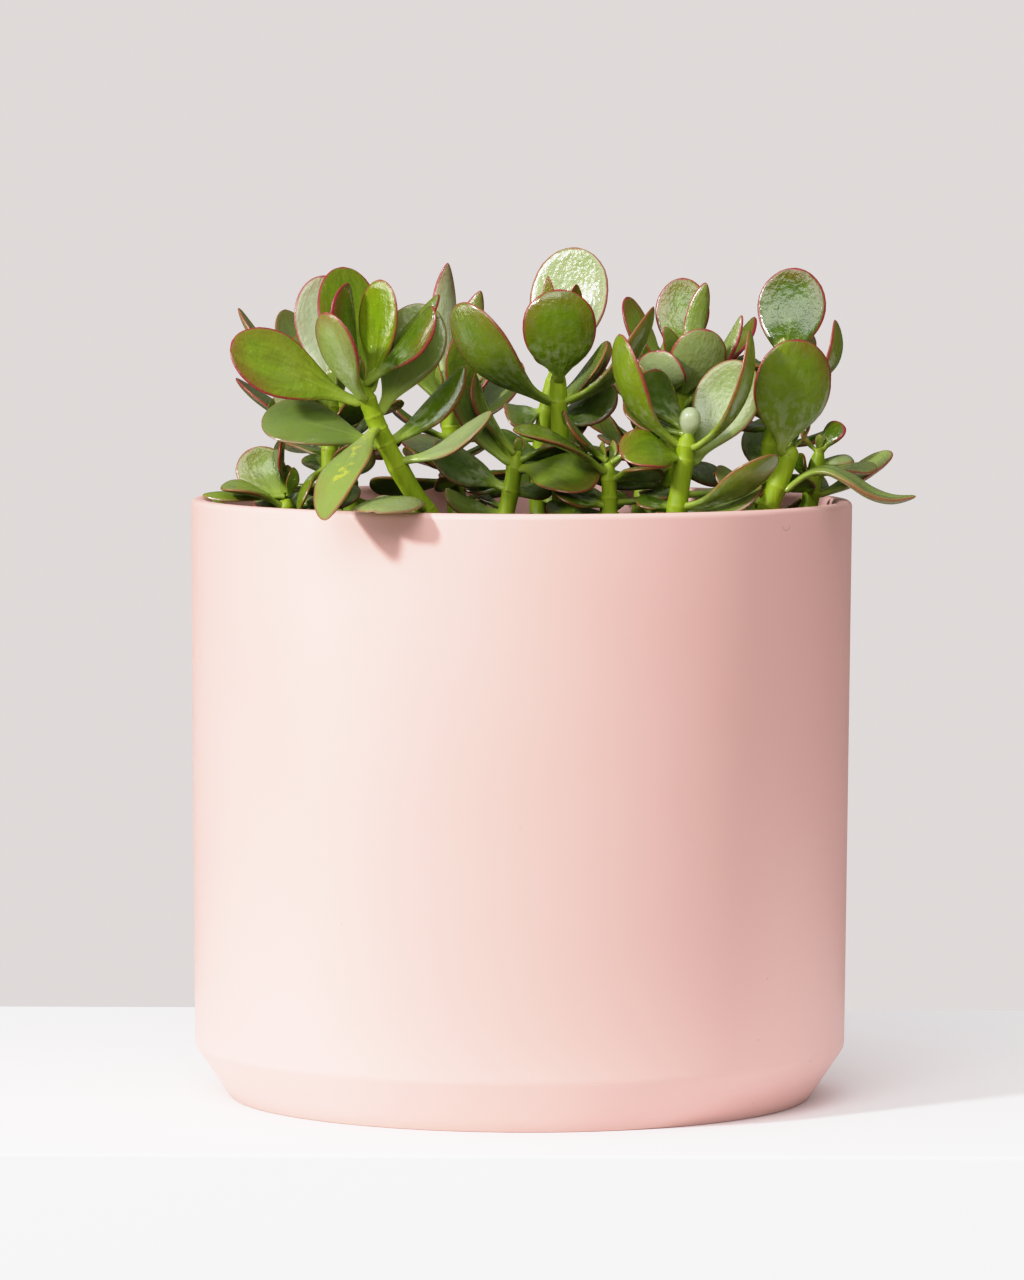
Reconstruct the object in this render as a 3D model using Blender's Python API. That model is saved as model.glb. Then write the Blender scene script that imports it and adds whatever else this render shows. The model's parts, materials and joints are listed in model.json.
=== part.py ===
"""A jade plant in a round planter with a chamfered foot.

The planter is turned about Z and stands on the plane z = 0, with its middle over the
origin. -Y is the front. Soil fills it to a little below the rim, stems stand in sockets
in the soil, and each leaf is a thick closed blade that springs from its own stem.
"""

import math
from dataclasses import dataclass, field

import bmesh
import bpy
from mathutils import Matrix, Vector
from mathutils.bvhtree import BVHTree

# ---- planter -------------------------------------------------------------------------
POT_RADIUS = 0.127          # outside, at the rim
POT_HEIGHT = 0.230
POT_TAPER = 0.0017          # outside radius lost from the rim down to the chamfer
CHAMFER_WIDTH = 0.0135      # how far the foot is set in
CHAMFER_HEIGHT = 0.020
CHAMFER_ROUND = 0.006       # softening of the corner above the chamfer
FOOT_ROUND = 0.0015         # softening of the edge it stands on
POT_WALL = 0.006
POT_FLOOR = 0.010
RIM_ROUND = 0.0022
DRAIN_RADIUS = 0.008

# ---- drain plug ----------------------------------------------------------------------
PLUG_FLANGE_OVERLAP = 0.003     # how far the flange covers the floor round the hole
PLUG_FLANGE_THICKNESS = 0.002
PLUG_EDGE_ROUND = 0.0006

# ---- soil ----------------------------------------------------------------------------
SOIL_DROP = 0.022           # rim down to the edge of the soil
SOIL_DOME = 0.003           # how much higher the middle of the soil is
SOIL_RINGS = 4

# ---- stems ---------------------------------------------------------------------------
ROOT_DEPTH = 0.026          # length of each stem below the soil
ROOT_TAPER = 0.6            # radius of the buried end, as a share of the radius above
TIP_RISE = 0.8              # how far the tip rises over the path, as a share of the top radius
STEM_TIP = 0.45             # radius of the last ring, as a share of the top radius

# ---- leaves --------------------------------------------------------------------------
PETIOLE_WIDTH = 0.0040      # a leaf is this wide where it leaves the stem
PETIOLE_THICKNESS = 0.0030
BLADE_THICKNESS = 0.0032    # at the widest place, on the midrib
MARGIN_THICKNESS = 0.0010
TIP_THICKNESS = 0.0014
NECK_END = 0.10             # share of the length where the blade starts to widen
WIDEST_AT = 0.63            # share of the length where the blade is widest
BLADE_CUP = 0.0016          # how much higher than the midrib the edges are

# ---- finishes: linear colour and roughness ---------------------------------------------
PINK_GLAZE = ((0.80, 0.55, 0.50), 0.45)
BLACK_RUBBER = ((0.02, 0.02, 0.02), 0.8)
POTTING_SOIL = ((0.045, 0.030, 0.020), 0.95)
GREEN_STEM = ((0.24, 0.36, 0.06), 0.5)
GREEN_LEAF = ((0.17, 0.31, 0.05), 0.35)
POT_SMOOTH = 40             # degrees between faces up to which an edge is shaded smooth
LEAF_SMOOTH = 60

# ---- fits and fineness ---------------------------------------------------------------
GAP = 0.0003                # clearance between pieces that touch
LEAF_CLEARANCE = 0.0005     # least distance between a leaf and anything but its stem
POT_SEGMENTS = 56
PLUG_SEGMENTS = 24
STEM_SIDES = 8
STEM_STEPS = 6
LEAF_SIDES = 8
LEAF_STATIONS = (0.015, 0.15, 0.31, 0.48, 0.65, 0.83, 0.955)

# ---- growth: how far a leaf may stray from its plan to stay clear of the rest --------
STRAY_STEP = math.radians(5)
SWING_STEPS = 8             # sideways, to each side
LIFT_STEPS = 8              # upwards
DROOP_STEPS = 3             # downwards
SHORTER = (1.0, 0.88, 0.76, 0.64)
SHORTER_COST = 5.0          # what one step shorter weighs against one step of swing or lift
SEAT_STEP = 0.0002          # how finely a leaf's distance from its stem's middle is found
SEAT_STEPS = 24

UP = Vector((0.0, 0.0, 1.0))


@dataclass(frozen=True)
class Leaf:
    """One leaf of a stem.

    Args:
        at: where it springs from, as a share of the stem's path above the soil.
        reach: the straight line from its base to its tip.
        width: the blade at its widest.
        turn: degrees rolled about the reach; at 0 the upper face looks up as far as it can.
        curl: drop of the midrib below the reach, so the tip lifts; negative droops it.
        sway: height of an S bend along the midrib.
    """

    at: float
    reach: tuple
    width: float
    turn: float = 0.0
    curl: float = 0.0
    sway: float = 0.0


@dataclass(frozen=True)
class Stem:
    """One stem and its leaves.

    Args:
        name: what the stem and its leaves are called after.
        foot: x and y in the soil, as shares of the soil's radius.
        rise: from the foot to the growing tip.
        bow: sideways offset of the middle of the stem.
        radius: at the soil.
        top_radius: below the growing tip.
        leaves: its leaves, those that must keep their place first.
    """

    name: str
    foot: tuple
    rise: tuple
    bow: tuple
    radius: float
    top_radius: float
    leaves: tuple = field(default=())


STEMS = (
    Stem("left_front", (-0.18, -0.61), (-0.037, -0.013, 0.064), (-0.004, 0.0, 0.0), 0.0043, 0.0033, (
        Leaf(0.96, (-0.046, -0.008, 0.022), 0.0265, turn=-62, curl=0.002),
        Leaf(0.98, (-0.013, -0.013, 0.032), 0.0205, turn=0, curl=0.003),
        Leaf(1.00, (0.003, 0.003, 0.040), 0.018, turn=10, curl=0.002),
        Leaf(0.99, (0.000, 0.027, 0.048), 0.025, turn=0, curl=0.004),
        Leaf(0.79, (-0.017, -0.053, -0.031), 0.020, turn=14, curl=-0.003),
        Leaf(0.57, (0.032, -0.012, 0.018), 0.0195, turn=28, curl=0.004),
        Leaf(0.86, (0.017, 0.012, 0.039), 0.025, turn=48, curl=0.004),
        Leaf(0.71, (-0.042, 0.001, 0.009), 0.0225, turn=-48, curl=-0.003),
    )),
    Stem("right_centre", (0.46, -0.52), (0.0065, 0.0, 0.046), (0.0, 0.0, 0.0), 0.0040, 0.0037, (
        Leaf(0.95, (-0.021, -0.004, 0.041), 0.018, turn=24, curl=0.007),
        Leaf(0.95, (0.019, -0.007, 0.044), 0.015, turn=0, curl=0.008),
        Leaf(0.83, (0.019, 0.011, 0.037), 0.025, turn=52, curl=0.004),
        Leaf(0.83, (-0.021, -0.014, 0.002), 0.020, turn=-45, curl=-0.003),
        Leaf(0.46, (0.033, -0.014, 0.020), 0.016, turn=-28, curl=0.004),
    )),
    Stem("centre", (0.13, -0.21), (-0.002, 0.0, 0.067), (0.0, 0.0, 0.0), 0.0039, 0.0032, (
        Leaf(0.99, (0.000, -0.014, 0.034), 0.0285, turn=0, curl=0.005),
        Leaf(0.86, (-0.035, -0.010, 0.037), 0.023, turn=42, curl=0.008),
        Leaf(0.86, (0.032, -0.004, 0.036), 0.018, turn=-16, curl=0.007),
    )),
    Stem("centre_back", (0.07, 0.13), (0.005, 0.002, 0.068), (-0.004, 0.0, 0.0), 0.0039, 0.0030, (
        Leaf(1.00, (0.009, 0.014, 0.047), 0.032, turn=14, curl=0.004),
        Leaf(0.84, (0.019, -0.010, 0.022), 0.027, turn=30, curl=0.003),
    )),
    Stem("right_front", (0.71, -0.35), (0.016, -0.004, 0.041), (0.0, 0.0, 0.0), 0.0046, 0.0036, (
        Leaf(0.99, (0.006, -0.011, 0.042), 0.031, turn=-12, curl=0.003),
        Leaf(0.69, (0.048, -0.010, -0.002), 0.016, turn=8, curl=-0.004, sway=0.005),
    )),
    Stem("centre_low", (0.28, -0.40), (-0.001, 0.0, 0.034), (0.0, 0.0, 0.0), 0.0032, 0.0030, (
        Leaf(0.97, (-0.033, -0.022, 0.015), 0.020, turn=-20, curl=-0.003),
    )),
    Stem("mid_left", (-0.08, -0.29), (0.0075, 0.0, 0.036), (0.0005, 0.0, 0.0), 0.0035, 0.0031, (
        Leaf(0.91, (0.028, -0.016, -0.005), 0.023, turn=38, curl=-0.002),
        Leaf(0.97, (-0.020, -0.004, 0.030), 0.0145, turn=-50, curl=0.004),
    )),
    Stem("right_back", (0.75, 0.23), (0.011, -0.010, 0.072), (0.0, 0.0, 0.0), 0.0040, 0.0032, (
        Leaf(1.00, (0.005, 0.012, 0.037), 0.0265, turn=14, curl=0.004),
        Leaf(0.91, (0.016, -0.005, 0.025), 0.015, turn=0, curl=0.009),
    )),
    Stem("right_edge", (0.89, 0.03), (0.007, 0.001, 0.038), (0.0, 0.0, 0.0), 0.0038, 0.0032, (
        Leaf(0.64, (0.027, 0.006, 0.016), 0.015, turn=16, curl=0.002),
        Leaf(0.84, (0.019, -0.012, 0.001), 0.018, turn=10, curl=-0.001),
    )),
    Stem("left_back", (-0.62, -0.17), (0.002, 0.005, 0.060), (0.0, 0.0, 0.0), 0.0033, 0.0030, (
        Leaf(1.00, (-0.002, 0.013, 0.046), 0.0245, turn=0, curl=0.004),
        Leaf(0.97, (-0.032, 0.006, 0.035), 0.016, turn=0, curl=0.004),
    )),
    Stem("left_edge", (-0.76, -0.11), (0.002, -0.002, 0.021), (0.0, 0.0, 0.0), 0.0032, 0.0030, (
        Leaf(0.90, (-0.022, -0.006, 0.006), 0.014, turn=-14, curl=-0.002),
        Leaf(0.99, (-0.015, 0.005, 0.018), 0.0195, turn=-50, curl=0.003),
    )),
    Stem("back_right", (0.43, 0.20), (0.011, 0.0, 0.068), (0.0, 0.0, 0.0), 0.0040, 0.0032, (
        Leaf(1.00, (0.001, 0.014, 0.036), 0.021, turn=0, curl=0.004),
        Leaf(0.90, (0.008, -0.013, 0.024), 0.022, turn=-20, curl=0.003),
        Leaf(0.96, (-0.018, 0.004, 0.031), 0.018, turn=-20, curl=0.004),
    )),
    Stem("back", (-0.20, 0.56), (-0.005, 0.009, 0.056), (0.0, 0.003, 0.0), 0.0042, 0.0034, (
        Leaf(0.97, (-0.016, 0.016, 0.036), 0.025, turn=0, curl=0.004),
        Leaf(0.80, (0.022, 0.020, 0.026), 0.026, turn=0, curl=0.004),
        Leaf(0.52, (-0.012, 0.040, 0.012), 0.026, turn=8, curl=0.002),
    )),
    Stem("back_corner", (0.38, 0.60), (0.007, 0.010, 0.052), (0.0, 0.002, 0.0), 0.0040, 0.0032, (
        Leaf(0.97, (0.012, 0.014, 0.038), 0.024, turn=0, curl=0.004),
        Leaf(0.78, (0.030, 0.022, 0.018), 0.025, turn=0, curl=0.003),
    )),
    Stem("back_left", (-0.54, 0.44), (-0.007, 0.007, 0.058), (0.0, 0.0, 0.0), 0.0040, 0.0032, (
        Leaf(0.97, (-0.018, 0.014, 0.036), 0.024, turn=0, curl=0.004),
        Leaf(0.78, (-0.038, 0.004, 0.020), 0.025, turn=0, curl=0.004),
        Leaf(0.50, (-0.020, 0.036, 0.006), 0.024, turn=6, curl=-0.004),
    )),
)


# ---- scene and materials -------------------------------------------------------------
def clear_scene():
    """Remove whatever the file holds."""
    for old in list(bpy.data.objects):
        bpy.data.objects.remove(old, do_unlink=True)


def material(name, colour, roughness):
    """Return a Principled material.

    Args:
        name: its name.
        colour: linear red, green and blue.
        roughness: of the surface.

    Returns:
        The material.
    """
    made = bpy.data.materials.new(name)
    made.use_nodes = True
    shader = made.node_tree.nodes["Principled BSDF"]
    shader.inputs["Base Color"].default_value = (*colour, 1.0)
    shader.inputs["Roughness"].default_value = roughness
    shader.inputs["Metallic"].default_value = 0.0
    made.diffuse_color = (*colour, 1.0)
    return made


def add_object(name, mesh_builder, finish, parent=None, place=Matrix.Identity(4), smooth=POT_SMOOTH):
    """Turn a bmesh into a named object.

    Args:
        name: the object's name.
        mesh_builder: the bmesh, which is used up.
        finish: the object's material, or None for a cutter.
        parent: the object that it is attached to.
        place: where it is in the world.
        smooth: degrees between faces up to which an edge is shaded smooth.

    Returns:
        The object.
    """
    bmesh.ops.recalc_face_normals(mesh_builder, faces=mesh_builder.faces)
    mesh = bpy.data.meshes.new(name)
    mesh_builder.to_mesh(mesh)
    mesh_builder.free()
    mesh.shade_smooth()
    mesh.set_sharp_from_angle(angle=math.radians(smooth))
    made = bpy.data.objects.new(name, mesh)
    bpy.context.collection.objects.link(made)
    if finish is not None:
        mesh.materials.append(finish)
    local = place
    if parent is not None:
        made.parent = parent
        local = world_of(parent).inverted() @ place
    made.location = local.to_translation()
    made.rotation_euler = local.to_euler()
    return made


def world_of(thing):
    """Return an object's place in the world, following its parents."""
    local = Matrix.LocRotScale(thing.location, thing.rotation_euler, thing.scale)
    return local if thing.parent is None else world_of(thing.parent) @ local


# ---- turned pieces -------------------------------------------------------------------
def round_corner(before, corner, after, radius, steps):
    """Return the points of an arc that rounds a corner of an outline.

    Args:
        before: the outline's point before the corner.
        corner: the corner.
        after: the outline's point after it.
        radius: of the arc.
        steps: straight pieces in the arc.

    Returns:
        The arc's points, from the side of before to the side of after.
    """
    into = (Vector(before) - Vector(corner)).normalized()
    out = (Vector(after) - Vector(corner)).normalized()
    half = into.angle(out) / 2
    centre = Vector(corner) + (into + out).normalized() * (radius / math.sin(half))
    start = Vector(corner) + into * (radius / math.tan(half)) - centre
    end = Vector(corner) + out * (radius / math.tan(half)) - centre
    sweep = math.pi - 2 * half
    turning = 1.0 if start.x * end.y - start.y * end.x > 0 else -1.0
    arc = []
    for step in range(steps + 1):
        angle = turning * sweep * step / steps
        across = start.x * math.cos(angle) - start.y * math.sin(angle)
        along = start.x * math.sin(angle) + start.y * math.cos(angle)
        arc.append((centre.x + across, centre.y + along))
    return arc


def turn(outline, segments, closed):
    """Spin an outline of (radius, height) points about Z.

    Args:
        outline: the points; an open outline begins and ends on the axis.
        segments: sides of the turned piece.
        closed: whether the last point joins the first.

    Returns:
        The bmesh.
    """
    spun = bmesh.new()
    corners = [spun.verts.new((radius, 0.0, height)) for radius, height in outline]
    following = corners[1:] + corners[:1] if closed else corners[1:]
    edges = [spun.edges.new(pair) for pair in zip(corners, following)]
    bmesh.ops.spin(
        spun, geom=corners + edges, cent=(0, 0, 0), axis=(0, 0, 1),
        angle=math.tau, steps=segments, use_merge=True, use_duplicate=False,
    )
    bmesh.ops.remove_doubles(spun, verts=spun.verts, dist=1e-6)
    return spun


def outside_radius(height):
    """Return the planter's outside radius at a height above its chamfer."""
    return POT_RADIUS - POT_TAPER * (POT_HEIGHT - height) / (POT_HEIGHT - CHAMFER_HEIGHT)


def inside_corners():
    """Return the floor corner and the wall corner inside, one wall in from the chamfer."""
    top = Vector((outside_radius(CHAMFER_HEIGHT), CHAMFER_HEIGHT))
    foot = Vector((top.x - CHAMFER_WIDTH, 0.0))
    slope = (top - foot).normalized()
    inner = foot + Vector((-slope.y, slope.x)) * POT_WALL
    floor_corner = inner + slope * ((POT_FLOOR - inner.y) / slope.y)
    wall_corner = inner + slope * ((top.x - POT_WALL - inner.x) / slope.x)
    wall_corner.x = outside_radius(wall_corner.y) - POT_WALL
    return floor_corner, wall_corner


def build_pot(finish):
    """Return the planter: one turned wall and floor with a drain hole."""
    top = outside_radius(CHAMFER_HEIGHT)
    foot = top - CHAMFER_WIDTH
    floor_corner, wall_corner = inside_corners()
    outer_rim = (POT_RADIUS, POT_HEIGHT)
    inner_rim = (POT_RADIUS - POT_WALL, POT_HEIGHT)
    shoulder = (top, CHAMFER_HEIGHT)
    outline = [(DRAIN_RADIUS, 0.0)]
    outline += round_corner((0.0, 0.0), (foot, 0.0), shoulder, FOOT_ROUND, 2)
    outline += round_corner((foot, 0.0), shoulder, outer_rim, CHAMFER_ROUND, 3)
    outline += round_corner(shoulder, outer_rim, inner_rim, RIM_ROUND, 4)
    outline += round_corner(outer_rim, inner_rim, wall_corner, RIM_ROUND, 4)
    outline += [tuple(wall_corner), tuple(floor_corner), (DRAIN_RADIUS, POT_FLOOR)]
    return add_object("pot", turn(outline, POT_SEGMENTS, closed=True), finish)


def build_plug(finish, pot):
    """Return the drain plug, flush with the foot and flanged over the floor inside."""
    shank = DRAIN_RADIUS - GAP
    flange = DRAIN_RADIUS + PLUG_FLANGE_OVERLAP
    seat = POT_FLOOR + GAP
    top = seat + PLUG_FLANGE_THICKNESS
    outline = [(0.0, 0.0), (shank, 0.0), (shank, seat), (flange, seat)]
    outline += round_corner((flange, seat), (flange, top), (0.0, top), PLUG_EDGE_ROUND, 2)
    outline += [(0.0, top)]
    return add_object("drain_plug", turn(outline, PLUG_SEGMENTS, closed=False), finish, pot)


def soil_radius(height):
    """Return the soil's radius where it meets the wall."""
    return outside_radius(height) - POT_WALL - GAP


def soil_top(x, y):
    """Return the height of the soil's domed surface."""
    edge = POT_HEIGHT - SOIL_DROP
    share = min(1.0, math.hypot(x, y) / soil_radius(edge))
    return edge + SOIL_DOME * (1.0 - share * share)


def build_soil(finish, pot, sockets):
    """Return the soil, with a pocket over the plug and a socket round each stem."""
    floor_corner, wall_corner = inside_corners()
    edge = POT_HEIGHT - SOIL_DROP
    pocket = DRAIN_RADIUS + PLUG_FLANGE_OVERLAP + GAP
    base = POT_FLOOR + GAP
    pocket_top = base + PLUG_FLANGE_THICKNESS + GAP
    outline = [(0.0, pocket_top), (pocket, pocket_top), (pocket, base)]
    outline += [(floor_corner.x - GAP, base), (wall_corner.x - GAP, wall_corner.y)]
    for ring in range(SOIL_RINGS):
        radius = soil_radius(edge) * (1.0 - ring / SOIL_RINGS)
        outline.append((radius, soil_top(radius, 0.0)))
    outline.append((0.0, edge + SOIL_DOME))
    soil = add_object("soil", turn(outline, POT_SEGMENTS, closed=False), finish, pot)
    cut = soil.modifiers.new("sockets", "BOOLEAN")
    cut.operation = "DIFFERENCE"
    cut.solver = "EXACT"
    cut.object = sockets
    return soil


# ---- stems ---------------------------------------------------------------------------
def stem_foot(stem):
    """Return the point where a stem leaves the soil."""
    span = soil_radius(POT_HEIGHT - SOIL_DROP)
    x, y = stem.foot[0] * span, stem.foot[1] * span
    return Vector((x, y, soil_top(x, y)))


def stem_point(stem, share):
    """Return a point on a stem's middle line and the stem's direction there.

    Args:
        stem: the stem.
        share: of its path above the soil; the buried part runs straight on below 0.

    Returns:
        The point and the unit direction, upwards.
    """
    rise, bow = Vector(stem.rise), Vector(stem.bow)
    along = rise + bow * (4.0 - 8.0 * max(share, 0.0))
    if share < 0.0:
        return stem_foot(stem) + along * share, along.normalized()
    return stem_foot(stem) + rise * share + bow * (4.0 * share * (1.0 - share)), along.normalized()


def stem_radius(stem, share):
    """Return a stem's radius at a share of its path."""
    if share < 0.0:
        return stem.radius * (1.0 + (1.0 - ROOT_TAPER) * share * stem_length(stem) / ROOT_DEPTH)
    return stem.radius + (stem.top_radius - stem.radius) * share


def stem_length(stem):
    """Return the length that a stem's first direction spans, from share 0 to 1."""
    return (Vector(stem.rise) + Vector(stem.bow) * 4.0).length


def tube(stations):
    """Skin a tube through level rings and close both ends.

    Args:
        stations: centre, direction and radius of each ring, from the bottom.

    Returns:
        The bmesh.
    """
    skin = bmesh.new()
    rings = []
    for centre, direction, radius in stations:
        side = direction.cross(Vector((0.0, 1.0, 0.0))).normalized()
        front = side.cross(direction)
        ring = []
        for index in range(STEM_SIDES):
            angle = math.tau * index / STEM_SIDES
            outward = side * math.cos(angle) + front * math.sin(angle)
            ring.append(skin.verts.new(centre + outward * radius))
        rings.append(ring)
    skin_rings(skin, rings)
    skin.faces.new(rings[0])
    skin.faces.new(rings[-1])
    return skin


def skin_rings(skin, rings):
    """Join rings of as many points each with quads."""
    for low, high in zip(rings, rings[1:]):
        count = len(low)
        for index in range(count):
            beside = (index + 1) % count
            skin.faces.new((low[index], low[beside], high[beside], high[index]))


def buried_share(stem, extra=0.0):
    """Return the share of the path, below 0, where the buried end is."""
    return -(ROOT_DEPTH + extra) / stem_length(stem)


def stem_mesh(stem):
    """Return a stem's solid, from its buried end to its rounded growing tip."""
    shares = [buried_share(stem)] + [step / STEM_STEPS for step in range(STEM_STEPS + 1)]
    stations = [(*stem_point(stem, share), stem_radius(stem, share)) for share in shares]
    tip, direction = stem_point(stem, 1.0)
    risen = tip + direction * stem.top_radius * TIP_RISE
    stations.append((risen, direction, stem.top_radius * STEM_TIP))
    return tube(stations)


def socket_mesh(stem):
    """Return the space that a stem's buried part needs in the soil, open at the top."""
    deep = buried_share(stem, GAP)
    shares = [deep, 0.0, 1.0 / STEM_STEPS]
    return tube([(*stem_point(stem, share), stem_radius(stem, share) + GAP) for share in shares])


def build_sockets():
    """Return one hidden cutter that holds every stem's socket."""
    gathered = bmesh.new()
    for stem in STEMS:
        socket = socket_mesh(stem)
        bmesh.ops.recalc_face_normals(socket, faces=socket.faces)
        spare = bpy.data.meshes.new("socket")
        socket.to_mesh(spare)
        socket.free()
        gathered.from_mesh(spare)
        bpy.data.meshes.remove(spare)
    cutter = add_object("stem_sockets", gathered, None)
    cutter.hide_render = True
    cutter.display_type = "WIRE"
    return cutter


# ---- leaves --------------------------------------------------------------------------
def smooth_step(value):
    """Ease a value from 0 to 1."""
    value = min(max(value, 0.0), 1.0)
    return value * value * (3.0 - 2.0 * value)


def half_width(leaf, share):
    """Return half of a leaf's width at a share of its length: narrow neck, round end."""
    neck, widest = PETIOLE_WIDTH / 2, leaf.width / 2
    if share < WIDEST_AT:
        return neck + (widest - neck) * smooth_step((share - NECK_END) / (WIDEST_AT - NECK_END))
    past = (share - WIDEST_AT) / (1.0 - WIDEST_AT)
    return widest * math.sqrt(max(0.0, 1.0 - past * past))


def half_thickness(share):
    """Return half of a leaf's thickness on its midrib."""
    if share < WIDEST_AT:
        return (PETIOLE_THICKNESS + (BLADE_THICKNESS - PETIOLE_THICKNESS) * share / WIDEST_AT) / 2
    past = (share - WIDEST_AT) / (1.0 - WIDEST_AT)
    return (BLADE_THICKNESS + (TIP_THICKNESS - BLADE_THICKNESS) * past * past) / 2


def midrib_height(leaf, share):
    """Return the midrib's height over the straight reach."""
    return -4.0 * leaf.curl * share * (1.0 - share) + leaf.sway * math.sin(math.tau * share)


def leaf_rings(leaf, length):
    """Return a leaf's rings of points, its base point and its tip.

    The blade lies along +X from the origin, with its upper face towards +Z.
    """
    rings = []
    for share in LEAF_STATIONS:
        half, thick = half_width(leaf, share), half_thickness(share)
        breadth = 2 * half / leaf.width
        ring = []
        for index in range(LEAF_SIDES):
            angle = math.tau * index / LEAF_SIDES
            across = math.cos(angle)
            swell = max(thick, MARGIN_THICKNESS / 2) * math.sin(angle)
            lift = BLADE_CUP * across * across * breadth * breadth
            height = midrib_height(leaf, share) + swell + lift
            ring.append(Vector((share * length, half * across, height)))
        rings.append(ring)
    return rings, Vector((0.0, 0.0, 0.0)), Vector((length, 0.0, 0.0))


def leaf_mesh(leaf, length):
    """Return a leaf's closed solid along +X."""
    blade = bmesh.new()
    rings, base, tip = leaf_rings(leaf, length)
    skin = [[blade.verts.new(point) for point in ring] for ring in rings]
    skin_rings(blade, skin)
    for end, ring in ((blade.verts.new(base), skin[0]), (blade.verts.new(tip), skin[-1])):
        for index in range(LEAF_SIDES):
            blade.faces.new((end, ring[index], ring[(index + 1) % LEAF_SIDES]))
    bmesh.ops.recalc_face_normals(blade, faces=blade.faces)
    return blade


def leaf_place(stem, leaf, swing, lift):
    """Return where a leaf points: +X along its reach and +Z out of its upper face.

    Args:
        stem: the stem that it grows on.
        leaf: the leaf.
        swing: radians that it strays sideways, about the stem.
        lift: radians that it strays upwards.

    Returns:
        The place on the stem's surface as a matrix, and the direction away from the stem.
    """
    point, direction = stem_point(stem, leaf.at)
    reach = (Matrix.Rotation(swing, 3, direction) @ Vector(leaf.reach)).normalized()
    outward = (reach - direction * reach.dot(direction)).normalized()
    reach = Matrix.Rotation(lift, 3, outward.cross(direction)) @ reach
    upper = (UP - reach * reach.z).normalized()
    upper = Matrix.Rotation(math.radians(leaf.turn), 3, reach) @ upper
    across = upper.cross(reach)
    turned = Matrix((reach, across, upper)).transposed().to_4x4()
    return Matrix.Translation(point + outward * stem_radius(stem, leaf.at)) @ turned, outward


def stray_poses():
    """Return every allowed stray, nearest to the plan first."""
    poses = []
    for shrink, length in enumerate(SHORTER):
        for swing in range(-SWING_STEPS, SWING_STEPS + 1):
            for lift in range(-DROOP_STEPS, LIFT_STEPS + 1):
                cost = abs(swing) + abs(lift) + SHORTER_COST * shrink
                poses.append((cost, abs(swing), swing, lift, length))
    return sorted(poses)


def swollen_tree(blade, place, margin):
    """Return a search tree of a blade that is fatter by a margin all round."""
    points = [place @ (vert.co + vert.normal * margin) for vert in blade.verts]
    faces = [[vert.index for vert in face.verts] for face in blade.faces]
    return BVHTree.FromPolygons(points, faces)


def object_tree(thing):
    """Return a search tree of an object in the world."""
    place = world_of(thing)
    points = [place @ vert.co for vert in thing.data.vertices]
    faces = [tuple(face.vertices) for face in thing.data.polygons]
    return BVHTree.FromPolygons(points, faces)


def seat_leaf(blade, place, outward, stem_tree):
    """Slide a leaf out from its stem until it just clears it.

    Args:
        blade: the leaf's bmesh.
        place: where it starts.
        outward: the direction to slide in.
        stem_tree: the stem's search tree.

    Returns:
        The seated place, or None if it doesn't clear the stem.
    """
    for step in range(SEAT_STEPS):
        seated = Matrix.Translation(outward * (SEAT_STEP * step)) @ place
        if not swollen_tree(blade, seated, GAP).overlap(stem_tree):
            return seated
    return None


def grow_leaf(stem, stem_tree, leaf, neighbours, poses):
    """Find the pose nearest to a leaf's plan that is clear of everything already there.

    Args:
        stem: the stem that it grows on.
        stem_tree: the stem's search tree.
        leaf: the leaf.
        neighbours: search trees of the other pieces.
        poses: the allowed strays, in order.

    Returns:
        The leaf's bmesh and its place.
    """
    for _, _, swing, lift, shorter in poses:
        blade = leaf_mesh(leaf, Vector(leaf.reach).length * shorter)
        blade.verts.index_update()
        place, outward = leaf_place(stem, leaf, swing * STRAY_STEP, lift * STRAY_STEP)
        seated = seat_leaf(blade, place, outward, stem_tree)
        if seated is not None:
            wide = swollen_tree(blade, seated, LEAF_CLEARANCE)
            if not any(wide.overlap(tree) for tree in neighbours):
                return blade, seated
        blade.free()
    raise ValueError(f"no room for a leaf of {stem.name}")


# ---- the whole plant -----------------------------------------------------------------
def build():
    """Build the planter, the soil, the stems and then the leaves."""
    clear_scene()
    pink = material("pink_glaze", *PINK_GLAZE)
    black = material("black_rubber", *BLACK_RUBBER)
    earth = material("potting_soil", *POTTING_SOIL)
    bark = material("green_stem", *GREEN_STEM)
    green = material("green_leaf", *GREEN_LEAF)
    pot = build_pot(pink)
    build_plug(black, pot)
    soil = build_soil(earth, pot, build_sockets())
    trees = {"pot": object_tree(pot)}
    trees["soil"] = object_tree(soil)
    stems = {}
    for stem in STEMS:
        grown = add_object(
            f"stem_{stem.name}", stem_mesh(stem), bark, pot, Matrix.Translation(stem_foot(stem)),
        )
        grown.data.transform(Matrix.Translation(-stem_foot(stem)))
        stems[stem.name] = grown
        trees[stem.name] = object_tree(grown)
    poses = stray_poses()
    for stem in STEMS:
        for number, leaf in enumerate(stem.leaves, start=1):
            others = [tree for name, tree in trees.items() if name != stem.name]
            blade, place = grow_leaf(stem, trees[stem.name], leaf, others, poses)
            name = f"leaf_{stem.name}_{number}"
            grown = add_object(name, blade, green, stems[stem.name], place, LEAF_SMOOTH)
            trees[name] = object_tree(grown)


build()
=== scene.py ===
"""The visible model of a potted jade plant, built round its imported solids.

The planter is turned from the solid's own outline, the soil is grained, and each stem and leaf
is a copy of one modelled master, laid over the solid that it stands for. Metres, +Z up, and -Y
is the front.
"""

import itertools
import json
import logging
import math
import random
from collections.abc import Callable, Sequence
from dataclasses import dataclass, field
from enum import Enum

import bpy
import numpy as np
from mathutils import Matrix, Vector
from mathutils.bvhtree import BVHTree

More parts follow.
